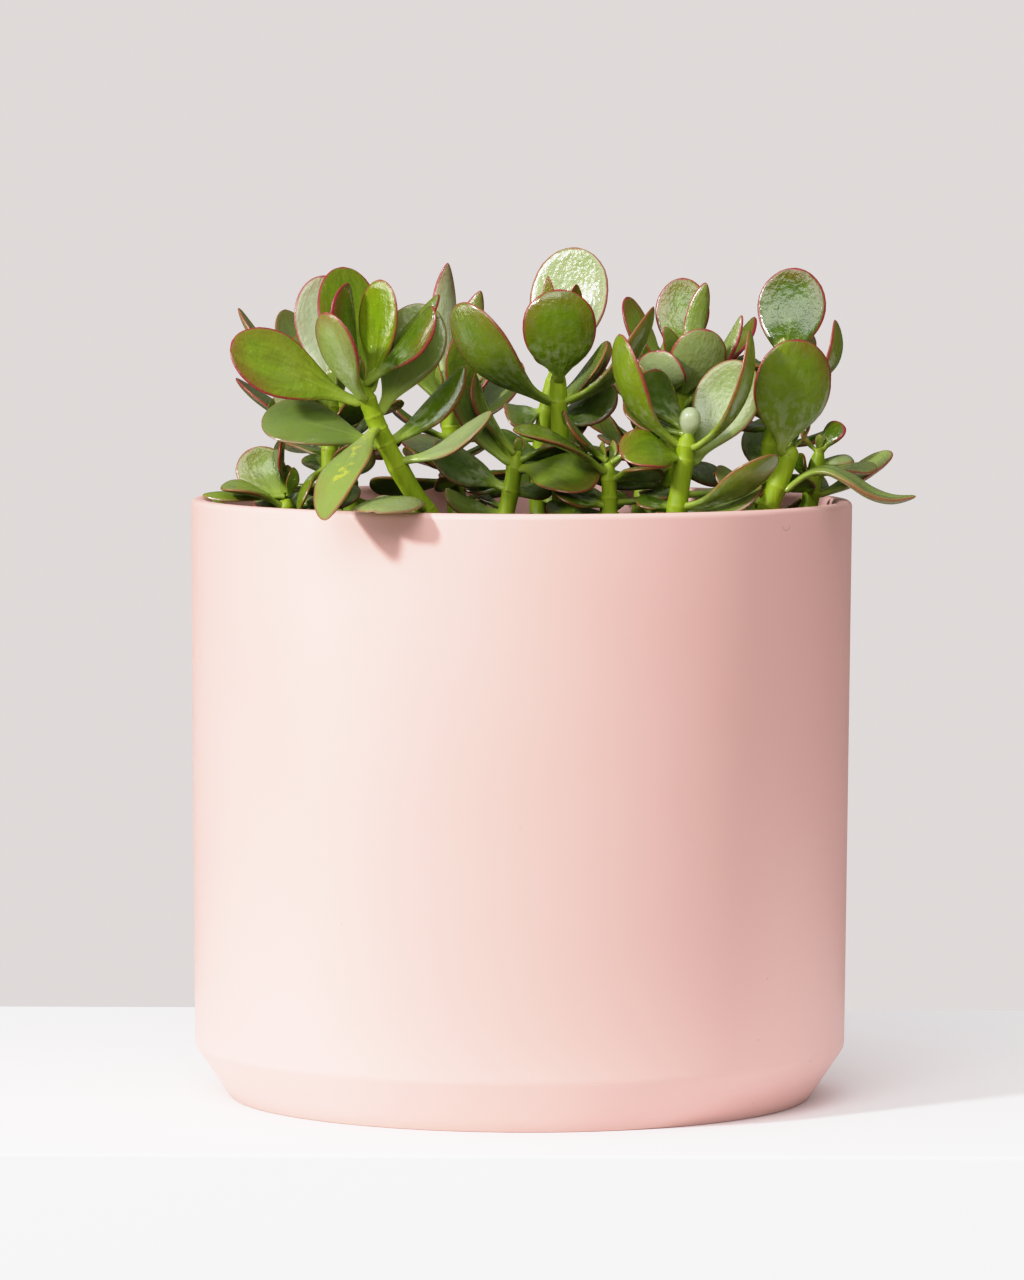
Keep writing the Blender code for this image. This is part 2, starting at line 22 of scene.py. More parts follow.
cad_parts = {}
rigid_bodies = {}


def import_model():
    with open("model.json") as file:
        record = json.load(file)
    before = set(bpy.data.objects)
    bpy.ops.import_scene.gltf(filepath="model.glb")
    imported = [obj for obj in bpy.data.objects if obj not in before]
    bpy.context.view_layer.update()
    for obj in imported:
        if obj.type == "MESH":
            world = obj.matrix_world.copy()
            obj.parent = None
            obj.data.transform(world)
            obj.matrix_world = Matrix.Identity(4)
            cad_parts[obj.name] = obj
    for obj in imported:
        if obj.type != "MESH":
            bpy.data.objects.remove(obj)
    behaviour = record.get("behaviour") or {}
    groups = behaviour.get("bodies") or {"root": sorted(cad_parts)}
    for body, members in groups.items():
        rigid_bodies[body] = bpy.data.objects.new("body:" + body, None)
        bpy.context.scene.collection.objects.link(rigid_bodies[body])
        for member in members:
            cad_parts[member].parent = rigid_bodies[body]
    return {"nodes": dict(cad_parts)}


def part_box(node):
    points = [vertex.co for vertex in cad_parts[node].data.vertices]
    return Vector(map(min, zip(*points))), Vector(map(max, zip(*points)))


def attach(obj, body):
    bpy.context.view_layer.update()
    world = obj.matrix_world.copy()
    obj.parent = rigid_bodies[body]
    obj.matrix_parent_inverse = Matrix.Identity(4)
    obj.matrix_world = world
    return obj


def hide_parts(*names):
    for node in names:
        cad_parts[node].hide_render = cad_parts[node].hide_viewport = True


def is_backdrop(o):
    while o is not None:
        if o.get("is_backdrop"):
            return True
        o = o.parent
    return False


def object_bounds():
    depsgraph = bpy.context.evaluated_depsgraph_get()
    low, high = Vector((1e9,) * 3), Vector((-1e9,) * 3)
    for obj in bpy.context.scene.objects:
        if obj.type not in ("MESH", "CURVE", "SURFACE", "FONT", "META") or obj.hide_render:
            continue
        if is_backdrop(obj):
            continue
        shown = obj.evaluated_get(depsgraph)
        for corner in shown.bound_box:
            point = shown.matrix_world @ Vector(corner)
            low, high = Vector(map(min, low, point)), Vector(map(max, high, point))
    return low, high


LOG = logging.getLogger("jade_plant")
MM = 0.001
WELD = 0.01 * MM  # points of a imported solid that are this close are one
LEVEL = 1e-4  # a point this close to a height is at it
FOOT_DEPTH = 0.40  # where a leaf's foot is, as a share of the stem's radius
EDGE_POWER = 0.8  # below 1 a leaf's section is fuller towards its edges
Colour = tuple[float, float, float]


# ---- bench: the operators, one small step each -----------------------------------------
class Bench:
    """Short names for the modelling operators, always acting on one piece."""

    @staticmethod
    def deselect() -> None:
        """Leave nothing selected."""
        if bpy.context.object is not None and bpy.context.object.mode != "OBJECT":
            bpy.ops.object.mode_set(mode="OBJECT")
        bpy.ops.object.select_all(action="DESELECT")

    @staticmethod
    def take(piece: bpy.types.Object) -> None:
        """Make a piece the only selected one, and the active one.

        Args:
            piece: the piece.
        """
        Bench.deselect()
        piece.select_set(True)
        bpy.context.view_layer.objects.active = piece

    @staticmethod
    def edit(piece: bpy.types.Object, mode: str = "VERT") -> None:
        """Open a piece for editing.

        Args:
            piece: the piece.
            mode: what is picked: VERT, EDGE or FACE.
        """
        Bench.take(piece)
        bpy.ops.object.mode_set(mode="EDIT")
        bpy.ops.mesh.select_mode(type=mode)

    @staticmethod
    def pick(piece: bpy.types.Object, mode: str, wanted: Callable[[object], bool]) -> None:
        """Select what passes a test, and leave the piece open for editing.

        Args:
            piece: the piece.
            mode: what is picked: VERT or FACE.
            wanted: returns whether a point or face is picked.
        """
        Bench.edit(piece, mode)
        bpy.ops.mesh.select_all(action="DESELECT")
        bpy.ops.object.mode_set(mode="OBJECT")
        for part in piece.data.polygons if mode == "FACE" else piece.data.vertices:
            part.select = wanted(part)
        bpy.ops.object.mode_set(mode="EDIT")

    @staticmethod
    def close(piece: bpy.types.Object, merge: float = 1e-6) -> None:
        """Merge a piece's doubles, turn its faces outwards and leave edit mode.

        Args:
            piece: the piece.
            merge: how close two points are when they are one.
        """
        Bench.edit(piece)
        bpy.ops.mesh.select_all(action="SELECT")
        bpy.ops.mesh.remove_doubles(threshold=merge)
        bpy.ops.mesh.normals_make_consistent(inside=False)
        bpy.ops.object.mode_set(mode="OBJECT")

    @staticmethod
    def name(name: str) -> bpy.types.Object:
        """Name the active piece and its mesh, and return it.

        Args:
            name: the new name.

        Returns:
            The piece.
        """
        piece = bpy.context.object
        piece.name = name
        piece.data.name = name
        return piece

    @staticmethod
    def settle() -> None:
        """Put the active piece's place into its mesh."""
        bpy.ops.object.transform_apply(location=True, rotation=True, scale=True)

    @staticmethod
    def modify(piece: bpy.types.Object, kind: str, **settings: object) -> None:
        """Add a modifier and apply it.

        Args:
            piece: the piece.
            kind: the modifier's type.
            settings: its properties.
        """
        Bench.take(piece)
        modifier = piece.modifiers.new(kind.lower(), kind)
        for key, value in settings.items():
            setattr(modifier, key, value)
        bpy.ops.object.modifier_apply(modifier=modifier.name)

    @staticmethod
    def smooth(piece: bpy.types.Object, degrees: float = 40.0) -> None:
        """Shade a piece smooth, except over sharp edges."""
        Bench.take(piece)
        bpy.ops.object.shade_smooth_by_angle(angle=math.radians(degrees))

    @staticmethod
    def copy(piece: bpy.types.Object, name: str) -> bpy.types.Object:
        """Return a copy of a piece with its own mesh.

        Args:
            piece: what is copied.
            name: the copy's name.

        Returns:
            The copy.
        """
        Bench.take(piece)
        bpy.ops.object.duplicate(linked=False)
        return Bench.name(name)

    @staticmethod
    def join(parts: Sequence[bpy.types.Object], name: str) -> bpy.types.Object:
        """Join several pieces into one and return it.

        Args:
            parts: the pieces.
            name: the joined piece's name.

        Returns:
            The joined piece.
        """
        Bench.take(parts[0])
        for part in parts[1:]:
            part.select_set(True)
        if len(parts) > 1:
            bpy.ops.object.join()
        return Bench.name(name)

    @staticmethod
    def loft(
        name: str, sides: int, rings: Sequence[tuple[float, float, float]]
    ) -> bpy.types.Object:
        """Model a closed tube along +Z by extruding and sizing one ring after another.

        Args:
            name: of the piece.
            sides: points in each ring.
            rings: the height of each ring and its half sizes along X and Y.

        Returns:
            The tube, closed at both ends.
        """
        Bench.deselect()
        height, wide, deep = rings[0]
        bpy.ops.mesh.primitive_circle_add(
            vertices=sides, radius=1.0, fill_type="NGON", location=(0.0, 0.0, height)
        )
        piece = Bench.name(name)
        Bench.settle()
        Bench.edit(piece, "FACE")
        bpy.ops.mesh.select_all(action="SELECT")
        bpy.ops.transform.resize(value=(wide, deep, 1.0), center_override=(0.0, 0.0, height))
        for (low, was_wide, was_deep), (high, now_wide, now_deep) in zip(rings, rings[1:]):
            bpy.ops.mesh.extrude_region_move(
                TRANSFORM_OT_translate={"value": (0.0, 0.0, high - low)}
            )
            bpy.ops.transform.resize(
                value=(now_wide / was_wide, now_deep / was_deep, 1.0),
                center_override=(0.0, 0.0, high),
            )
        Bench.close(piece)
        return piece


def points_of(piece: bpy.types.Object) -> np.ndarray:
    """Return a piece's points as rows.

    Args:
        piece: the piece.

    Returns:
        One row of X, Y and Z per point.
    """
    flat = np.zeros(len(piece.data.vertices) * 3)
    piece.data.vertices.foreach_get("co", flat)
    return flat.reshape(-1, 3)


def move_points(piece: bpy.types.Object, points: np.ndarray) -> None:
    """Put a piece's points where the rows say."""
    piece.data.vertices.foreach_set("co", points.astype(np.float32).ravel())
    piece.data.update()


def set_values(piece: bpy.types.Object, name: str, values: np.ndarray | float) -> None:
    """Write one number per point into a named attribute.

    Args:
        piece: the piece.
        name: the attribute's name.
        values: a number for each point, or one for all.
    """
    made = piece.data.attributes.new(name, "FLOAT", "POINT")
    count = len(piece.data.vertices)
    made.data.foreach_set("value", np.broadcast_to(values, count).astype(np.float32))


def merged_solid(node: bpy.types.Object) -> tuple[np.ndarray, list[tuple[int, int]]]:
    """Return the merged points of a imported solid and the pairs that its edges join.

    Args:
        node: the solid.

    Returns:
        The points as rows, and pairs of their row numbers.
    """
    spare = Bench.copy(node, "spare_solid")
    Bench.edit(spare)
    bpy.ops.mesh.select_all(action="SELECT")
    bpy.ops.mesh.remove_doubles(threshold=WELD)
    bpy.ops.object.mode_set(mode="OBJECT")
    points = points_of(spare)
    pairs = [tuple(edge.vertices) for edge in spare.data.edges]
    bpy.data.objects.remove(spare)
    return points, pairs


def hand_over(piece: bpy.types.Object, slot: str, *replaced: str) -> None:
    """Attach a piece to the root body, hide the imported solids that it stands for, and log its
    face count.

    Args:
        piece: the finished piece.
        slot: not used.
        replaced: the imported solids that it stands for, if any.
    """
    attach(piece, "root")
    if replaced:
        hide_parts(*replaced)
    LOG.info("%s: %d faces", piece.name, len(piece.data.polygons))


# ---- shader maths ----------------------------------------------------------------------
class Wire:
    """An output that can be used in an expression; each operator adds its Math node."""

    def __init__(self, graph: "Graph", socket: bpy.types.NodeSocket) -> None:
        """Wrap a socket of a graph."""
        self.graph = graph
        self.socket = socket

    def math(self, operation: str, *others: "Wire | float", swap: bool = False) -> "Wire":
        """Add a Math node and return its result.

        Args:
            operation: the node's operation.
            others: the second and third values.
            swap: whether the first two values change places.

        Returns:
            The result.
        """
        values = [self, *others]
        if swap:
            values[0], values[1] = values[1], values[0]
        node = self.graph.node("ShaderNodeMath", {"operation": operation}, dict(enumerate(values)))
        return Wire(self.graph, node.outputs[0])

    def __add__(self, other: "Wire | float") -> "Wire":
        """Return the sum."""
        return self.math("ADD", other)

    __radd__ = __add__

    def __sub__(self, other: "Wire | float") -> "Wire":
        """Return the difference."""
        return self.math("SUBTRACT", other)

    def __rsub__(self, other: "Wire | float") -> "Wire":
        """Return the difference from a number."""
        return self.math("SUBTRACT", other, swap=True)

    def __mul__(self, other: "Wire | float") -> "Wire":
        """Return the product."""
        return self.math("MULTIPLY", other)

    __rmul__ = __mul__

    def step(self, low: float, high: float) -> "Wire":
        """Return 0 at low and 1 at high, eased; low may be the larger.

        Args:
            low: where the result is 0.
            high: where the result is 1.

        Returns:
            The result.
        """
        node = self.graph.node(
            "ShaderNodeMapRange",
            {"interpolation_type": "SMOOTHSTEP"},
            {"Value": self, "From Min": low, "From Max": high, "To Min": 0.0, "To Max": 1.0},
        )
        return Wire(self.graph, node.outputs[0])


class Graph:
    """The nodes of one material or world."""

    def __init__(self, tree: bpy.types.NodeTree) -> None:
        """Work on a node tree."""
        self.tree = tree

    def node(self, kind: str, settings: dict[str, object], values: dict) -> bpy.types.Node:
        """Add a node.

        Args:
            kind: its type.
            settings: its properties; "stops" are a ramp's places and colours.
            values: a number, colour or wire for each input, by name or index.

        Returns:
            The node.
        """
        made = self.tree.nodes.new(kind)
        for key, value in settings.items():
            if key == "stops":
                self._stops(made.color_ramp.elements, value)
            else:
                setattr(made, key, value)
        for key, value in values.items():
            self.feed(made.inputs[key], value)
        return made

    @staticmethod
    def _stops(elements: bpy.types.ColorRampElements, stops: Sequence[tuple]) -> None:
        """Give a ramp its stops.

        Args:
            elements: the ramp's elements.
            stops: a place and a colour for each.
        """
        while len(elements) < len(stops):
            elements.new(0.5)
        for element, (place, colour) in zip(elements, stops):
            element.position = place
            element.color = (*colour, 1.0)

    def feed(self, socket: bpy.types.NodeSocket, value: "Wire | float | Sequence") -> None:
        """Link a wire to an input, or set the input's own value.

        Args:
            socket: the input.
            value: a wire, a number, a colour or a vector.
        """
        if isinstance(value, Wire):
            self.tree.links.new(value.socket, socket)
        elif isinstance(value, tuple) and len(value) == 3 and socket.type == "RGBA":
            socket.default_value = (*value, 1.0)
        else:
            socket.default_value = value

    def mix(self, share: "Wire | float", low: "Wire | Colour", high: "Wire | Colour") -> Wire:
        """Return a colour between two colours.

        Args:
            share: how much of the second colour.
            low: the first colour.
            high: the second colour.

        Returns:
            The mixed colour.
        """
        node = self.node(
            "ShaderNodeMix", {"data_type": "RGBA"}, {0: share, 6: low, 7: high}
        )
        return Wire(self, node.outputs[2])

    def place(self, scale: Sequence[float] = (1.0, 1.0, 1.0)) -> Wire:
        """Return the object's coordinates, stretched by a scale.

        Args:
            scale: the scale along each axis.

        Returns:
            The coordinates.
        """
        own = self.node("ShaderNodeTexCoord", {}, {})
        values = {"Vector": Wire(self, own.outputs["Object"]), "Scale": scale}
        moved = self.node("ShaderNodeMapping", {}, values)
        return Wire(self, moved.outputs[0])

    def noise(self, where: Wire, scale: float, detail: float = 2.0) -> Wire:
        """Return a cloudy pattern from 0 to 1.

        Args:
            where: the coordinates.
            scale: how fine it is.
            detail: how many finer layers it has.

        Returns:
            The pattern.
        """
        node = self.node(
            "ShaderNodeTexNoise", {}, {"Vector": where, "Scale": scale, "Detail": detail}
        )
        return Wire(self, node.outputs[0])

    def cells(self, where: Wire, scale: float) -> Wire:
        """Return the distance from the nearest of many scattered points."""
        node = self.node("ShaderNodeTexVoronoi", {}, {"Vector": where, "Scale": scale})
        return Wire(self, node.outputs["Distance"])

    def value(self, name: str) -> Wire:
        """Return a named number of the mesh's points."""
        node = self.node("ShaderNodeAttribute", {"attribute_name": name}, {})
        return Wire(self, node.outputs["Fac"])

    def bump(self, height: Wire, strength: float, distance: float) -> Wire:
        """Return a normal for a height pattern.

        Args:
            height: the pattern.
            strength: how much it counts.
            distance: how tall it is.

        Returns:
            The normal.
        """
        node = self.node(
            "ShaderNodeBump", {}, {"Height": height, "Strength": strength, "Distance": distance}
        )
        return Wire(self, node.outputs[0])

    def parts(self, vector: Wire) -> tuple[Wire, Wire, Wire]:
        """Return the three parts of a vector."""
        node = self.node("ShaderNodeSeparateXYZ", {}, {0: vector})
        return Wire(self, node.outputs[0]), Wire(self, node.outputs[1]), Wire(self, node.outputs[2])


class MaterialGraph(Graph):
    """The nodes of one material, which feed one Principled shader."""

    def __init__(self, name: str) -> None:
        """Start a material.

        Args:
            name: the material's name.
        """
        self.material = bpy.data.materials.new(name)
        self.material.use_nodes = True
        super().__init__(self.material.node_tree)
        self.shader = self.tree.nodes["Principled BSDF"]

    def finish(self, **sockets: "Wire | float | Colour") -> bpy.types.Material:
        """Feed the shader and return the material.

        Args:
            sockets: a value for each shader input, with spaces as underscores.

        Returns:
            The material.
        """
        for name, value in sockets.items():
            self.feed(self.shader.inputs[name.replace("_", " ")], value)
        return self.material


# ---- finishes --------------------------------------------------------------------------
@dataclass(frozen=True)
class PinkGlaze:
    """A satin pink glaze with faint clouds, pin marks and painted contact shade darkening its foot.
    """

    colour: Colour = (0.840, 0.485, 0.438)
    pale: Colour = (0.855, 0.508, 0.462)
    mark: Colour = (0.42, 0.22, 0.18)
    # painted contact shade: the darker colour that the foot is mixed towards
    foot_contact_shade: Colour = (0.62, 0.43, 0.38)
    roughness: float = 0.42
    nick: Colour = (0.55, 0.33, 0.28)
    nick_around: float = -39.0
    nick_height: float = 0.2246
    nick_radius: float = 2.5 * MM

    def _nick(self, g: Graph, where: Wire) -> Wire:
        """Return the mask of a small curved nick under the rim.

        Args:
            g: the graph.
            where: the coordinates.

        Returns:
            The mask.
        """
        x, y, z = g.parts(where)
        turn = math.radians(self.nick_around)
        aside = y * math.cos(turn) - x * math.sin(turn)
        below = z - self.nick_height
        away = (aside * aside + below * below).math("SQRT", 0.0)
        line = (away - self.nick_radius).math("ABSOLUTE", 0.0).step(0.34 * MM, 0.12 * MM)
        return line * below.step(-0.2 * MM, -1.2 * MM) * x.step(0.0, 0.02)

    def make(self) -> bpy.types.Material:
        """Return the material.

        Returns:
            The material.
        """
        g = MaterialGraph("satin_pink_glaze")
        where = g.place()
        clouds = g.noise(where, 9.0, 3.0)
        fine = g.noise(where, 700.0, 2.0)
        grain = g.noise(where, 160.0, 2.0)
        # painted contact shade: darker, and rougher, within 6 mm of the foot, patchy with the grain
        foot = g.parts(where)[2].step(0.006, 0.0) * (0.35 + 0.4 * grain)
        pins = g.cells(where, 95.0).step(0.055, 0.03) * g.noise(where, 14.0).step(0.60, 0.66)
        base = g.mix(clouds.step(0.3, 0.7), self.colour, self.pale)
        base = g.mix(foot, base, self.foot_contact_shade)
        base = g.mix(pins * 0.55, base, self.mark)
        nick = self._nick(g, where)
        base = g.mix(nick * 0.7, base, self.nick)
        return g.finish(
            Base_Color=base,
            Roughness=self.roughness + 0.10 * (grain - 0.5) + 0.2 * foot,
            Normal=g.bump(fine * 0.35 + grain * 0.65 - pins - nick * 6.0, 0.10, 0.0004),
            Specular_IOR_Level=0.5,
        )


@dataclass(frozen=True)
class PlugRubber:
    """Matte black rubber with a moulded grain."""

    colour: Colour = (0.018, 0.018, 0.019)
    worn: Colour = (0.05, 0.048, 0.045)

    def make(self) -> bpy.types.Material:
        """Return the material.

        Returns:
            The material.
        """
        g = MaterialGraph("matte_black_rubber")
        where = g.place()
        grain = g.noise(where, 900.0, 2.0)
        worn = g.noise(where, 120.0, 3.0).step(0.45, 0.75)
        return g.finish(
            Base_Color=g.mix(worn, self.colour, self.worn),
            Roughness=0.72 + 0.18 * grain,
            Normal=g.bump(grain, 0.3, 0.0003),
        )


@dataclass(frozen=True)
class PottingMix:
    """Damp dark compost, crumbly, with paler fibres and dry crumbs."""

    wet: Colour = (0.022, 0.014, 0.009)
    crumb: Colour = (0.095, 0.060, 0.037)
    fibre: Colour = (0.20, 0.135, 0.080)

    def make(self) -> bpy.types.Material:
        """Return the material.

        Returns:
            The material.
        """
        g = MaterialGraph("potting_mix")
        where = g.place()
        crumbs = g.noise(where, 240.0, 4.0)
        grains = g.cells(where, 420.0)
        fibres = g.noise(g.place((1.0, 4.5, 1.0)), 210.0, 3.0).step(0.62, 0.72)
        base = g.mix(crumbs.step(0.38, 0.68), self.wet, self.crumb)
        base = g.mix(fibres * 0.7, base, self.fibre)
        return g.finish(
            Base_Color=base,
            Roughness=0.96 - 0.22 * crumbs,
            Normal=g.bump(crumbs * 0.7 + grains * 0.6, 0.8, 0.0012),
        )


@dataclass(frozen=True)
class BarkChip:
    """Weathered fir bark with layered growth."""

    dark: Colour = (0.050, 0.026, 0.014)
    light: Colour = (0.22, 0.125, 0.065)

    def make(self) -> bpy.types.Material:
        """Return the material.

        Returns:
            The material.
        """
        g = MaterialGraph("bark_chip")
        layers = g.noise(g.place((1.0, 1.0, 5.0)), 190.0, 4.0)
        blotch = g.noise(g.place(), 60.0, 2.0)
        return g.finish(
            Base_Color=g.mix((layers * 0.7 + blotch * 0.4).step(0.32, 0.78), self.dark, self.light),
            Roughness=0.78 + 0.16 * blotch,
            Normal=g.bump(layers, 0.7, 0.0008),
        )


@dataclass(frozen=True)
class Perlite:
    """Chalk-white puffed mineral, soiled in its pits."""

    white: Colour = (0.72, 0.70, 0.66)
    soiled: Colour = (0.30, 0.23, 0.17)

    def make(self) -> bpy.types.Material:
        """Return the material.

        Returns:
            The material.
        """
        g = MaterialGraph("perlite_grain")
        pits = g.noise(g.place(), 800.0, 3.0)
        return g.finish(
            Base_Color=g.mix(pits.step(0.58, 0.36), self.white, self.soiled),
            Roughness=0.88 + 0.1 * pits,
            Normal=g.bump(pits, 0.7, 0.0005),
        )


@dataclass(frozen=True)
class StemSkin:
    """Fleshy green bark, ringed at the joints with a painted sheen and faint scars, and corky near
    the soil.
    """

    green: Colour = (0.185, 0.285, 0.006)
    light: Colour = (0.300, 0.400, 0.028)
    scar: Colour = (0.15, 0.105, 0.025)
    cork: Colour = (0.090, 0.095, 0.025)
    deep: Colour = (0.040, 0.080, 0.004)

    def make(self) -> bpy.types.Material:
        """Return the material.

        Returns:
            The material.
        """
        g = MaterialGraph("green_stem_skin")
        where = g.place()
        streak = g.noise(g.place((1.0, 1.0, 0.16)), 620.0, 2.0)
        cloud = g.noise(where, 70.0, 2.0)
        fine = g.noise(where, 1300.0, 2.0)
        joint = g.value("joint")
        low = g.value("low")
        base = g.mix((streak * 0.6 + cloud * 0.5).step(0.30, 0.80), self.green, self.light)
        base = g.mix(low * 0.75, base, self.deep)
        base = g.mix(low.step(0.45, 1.0) * cloud.step(0.35, 0.6), base, self.cork)
        # painted sheen: the joints' ridges are lightened
        base = g.mix(joint.step(0.25, 0.8) * 0.45, base, self.light)
        scarred = joint.step(0.88, 0.98) * g.noise(where, 260.0).step(0.50, 0.66)
        base = g.mix(scarred * 0.5, base, self.scar)
        dots = g.cells(where, 520.0).step(0.16, 0.08) * cloud.step(0.4, 0.6)
        base = g.mix(dots * 0.35, base, self.light)
        return g.finish(
            Base_Color=base,
            Roughness=0.36 + 0.18 * streak + 0.25 * scarred,
            Normal=g.bump(streak * 0.7 + fine * 0.4 - scarred, 0.28, 0.0005),
            Specular_IOR_Level=0.35,
        )


@dataclass(frozen=True)
class LeafSkin:
    """The waxy skin of a jade leaf: glossy above, bloomed below, crimson at the margin. Its pale
    bloom colour also paints sheen on leaves that face the light.
    """

    bright: Colour = (0.165, 0.262, 0.009)
    sunny: Colour = (0.205, 0.270, 0.012)
    # dark green for the per-leaf deep value: the leaf's own darker green, and painted shade on
    # leaves that stand in shade
    deep: Colour = (0.042, 0.088, 0.002)
    under: Colour = (0.185, 0.265, 0.014)
    # waxy bloom colour, also mixed in as painted sheen on leaves that face the light
    bloom: Colour = (0.390, 0.440, 0.270)
    petiole: Colour = (0.310, 0.410, 0.060)
    margin: Colour = (0.290, 0.016, 0.040)
    russet: Colour = (0.205, 0.085, 0.022)
    olive: Colour = (0.118, 0.150, 0.006)
    fleck: Colour = (0.480, 0.500, 0.050)
    speck: Colour = (0.500, 0.560, 0.400)

    def make(self) -> bpy.types.Material:
        """Return the material.

        Returns:
            The material.
        """
        g = MaterialGraph("jade_leaf_skin")
        where = g.place()
        own = Wire(g, g.node("ShaderNodeUVMap", {"uv_map": "leaf"}, {}).outputs[0])
        sideways, along, _ = g.parts(own)
        across = (sideways * 2.0 - 1.0).math("ABSOLUTE", 0.0)
        upper = g.value("upper").step(0.42, 0.58)
        rim = g.value("rim")
        deep = g.value("deep")
        bloom = g.value("bloom")
        blush = g.value("blush")
        cloud = g.noise(where, 75.0, 3.0)
        broad = g.noise(where, 34.0, 2.0)
        mottle = g.noise(where, 330.0, 3.0)
        fine = g.noise(where, 1500.0, 2.0)
        drawn = {"Vector": own, "Scale": (5.0, 2.3, 1.0), "Location": g.place((30.0, 30.0, 30.0))}
        streak = g.noise(Wire(g, g.node("ShaderNodeMapping", {}, drawn).outputs[0]), 2.2, 3.0)
        top = g.mix(cloud.step(0.35, 0.72), self.bright, self.sunny)
        top = g.mix((streak * 0.6 + broad * 0.5).step(0.50, 0.72) * 0.50, top, self.olive)
        # shade: the per-leaf deep value, which paints shade on leaves in shade, with random
        # mottling
        shade = deep + (mottle - 0.5) * 0.26 + (cloud - 0.5) * 0.5 + (streak - 0.5) * 0.34
        shade = shade.math("MAXIMUM", 0.0)
        top = g.mix(shade.math("MINIMUM", 1.0), top, self.deep)
        vein = across.step(0.10, 0.0) * along.step(0.72, 0.35) * 0.22
        top = g.mix(vein, top, self.petiole)
        # waxy bloom on the upper face; a high per-leaf value also paints sheen on leaves that face
        # the light
        wax_and_sheen = bloom * (0.50 + 0.35 * mottle + 0.30 * streak)
        top = g.mix(wax_and_sheen.math("MINIMUM", 0.92), top, self.bloom)
        below = g.mix(shade.math("MINIMUM", 0.9), self.under, self.deep)
        patch = (streak * 0.6 + mottle * 0.5).step(0.50, 0.66) * along.step(0.62, 0.42) * 0.26
        # paler underside: waxy bloom patches, with painted sheen from the per-leaf value
        under_wax_and_sheen = patch + mottle.step(0.40, 0.72) * 0.10 + bloom * 0.75
        below = g.mix(under_wax_and_sheen.math("MINIMUM", 0.9), below, self.bloom)
        base = g.mix(upper, below, top)
        base = g.mix(along.step(0.34, 0.06) * 0.75, base, self.petiole)
        flush = rim.step(8.5 * MM, 0.3 * MM) * blush * along.step(0.40, 0.85) * 0.62
        base = g.mix(flush * (0.15 + broad.step(0.35, 0.65)), base, self.russet)
        specks = g.cells(where, 610.0).step(0.15, 0.06) * g.noise(where, 120.0).step(0.50, 0.64)
        base = g.mix(specks * 0.30, base, self.speck)
        streaks = g.noise(g.place((1.0, 1.0, 0.6)), 330.0, 3.0).step(0.54, 0.62)
        flecks = streaks * g.value("fleck") * across.step(0.55, 0.15) * along.step(0.80, 0.60)
        base = g.mix(flecks * 0.75, base, self.fleck)
        edge = rim.step(1.15 * MM, 0.40 * MM) * along.step(0.20, 0.55)
        edge = edge * blush.math("POWER", 0.6) * (0.66 + 0.5 * cloud)
        base = g.mix(edge.math("MINIMUM", 1.0), base, self.margin)
        gloss = 0.22 - 0.03 * upper + 0.12 * (mottle - 0.5) + 0.10 * bloom + 0.20 * edge
        crinkle = g.noise(where, 240.0, 2.0) * 0.8 + g.noise(where, 620.0, 2.0) * 0.5 + streak * 0.7
        crinkle = crinkle * (0.45 + 0.75 * blush)
        return g.finish(
            Base_Color=base,
            Roughness=gloss,
            Normal=g.bump(crinkle + fine * 0.12 + specks * 0.2, 0.50, 0.0007),
            Specular_IOR_Level=0.50,
            Coat_Weight=0.35,
            Coat_Roughness=0.16,
            Subsurface_Weight=0.10,
            Subsurface_Radius=(0.0022, 0.0030, 0.0006),
            Subsurface_Scale=1.0,
        )


@dataclass(frozen=True)
class StagePaint:
    """Plain matte paint for what the plant stands on."""

    colour: Colour = (0.930, 0.915, 0.925)
    roughness: float = 0.75

    def make(self) -> bpy.types.Material:
        """Return the material.

        Returns:
            The material.
        """
        g = MaterialGraph("pale_stage")
        cloud = g.noise(g.place(), 3.0, 2.0)
        soft = g.mix(cloud, self.colour, tuple(0.985 * part for part in self.colour))
        return g.finish(Base_Color=soft, Roughness=self.roughness, Specular_IOR_Level=0.2)


# ---- curves ----------------------------------------------------------------------------
def unit(rows: np.ndarray) -> np.ndarray:
    """Return rows of length one."""
    return rows / np.maximum(np.linalg.norm(rows, axis=-1, keepdims=True), 1e-12)


def curve_through(knots: np.ndarray, places: np.ndarray, at: np.ndarray) -> np.ndarray:
    """Return rows on the smooth curve through some knots.

    Args:
        knots: one row per knot.
        places: where each knot is, increasing.
        at: the wanted places.

    Returns:
        One row per wanted place.
    """
    slopes = np.gradient(knots, places, axis=0)
    index = np.clip(np.searchsorted(places, at, side="right") - 1, 0, len(places) - 2)
    span = (places[index + 1] - places[index])[:, None]
    s = (at - places[index])[:, None] / span
    start, end = knots[index], knots[index + 1]
    return (
        (2 * s**3 - 3 * s**2 + 1) * start
        + (s**3 - 2 * s**2 + s) * slopes[index] * span
        + (3 * s**2 - 2 * s**3) * end
        + (s**3 - s**2) * slopes[index + 1] * span
    )


def heading(around: float, rise: float) -> np.ndarray:
    """Return the direction at an angle about +Z and an angle above the level."""
    level = np.array([math.cos(around), math.sin(around), 0.0])
    return level * math.cos(rise) + np.array([0.0, 0.0, math.sin(rise)])


def eased(values: np.ndarray, low: float, high: float) -> np.ndarray:
    """Return 0 at low and 1 at high, eased; low may be the larger."""
    share = np.clip((values - low) / (high - low), 0.0, 1.0)
    return share * share * (3.0 - 2.0 * share)


# ---- leaves ----------------------------------------------------------------------------
class LeafShape(Enum):
    """The outlines that the leaves grow in."""

    ROUND = "round"
    SPOON = "spoon"
    BLADE = "blade"


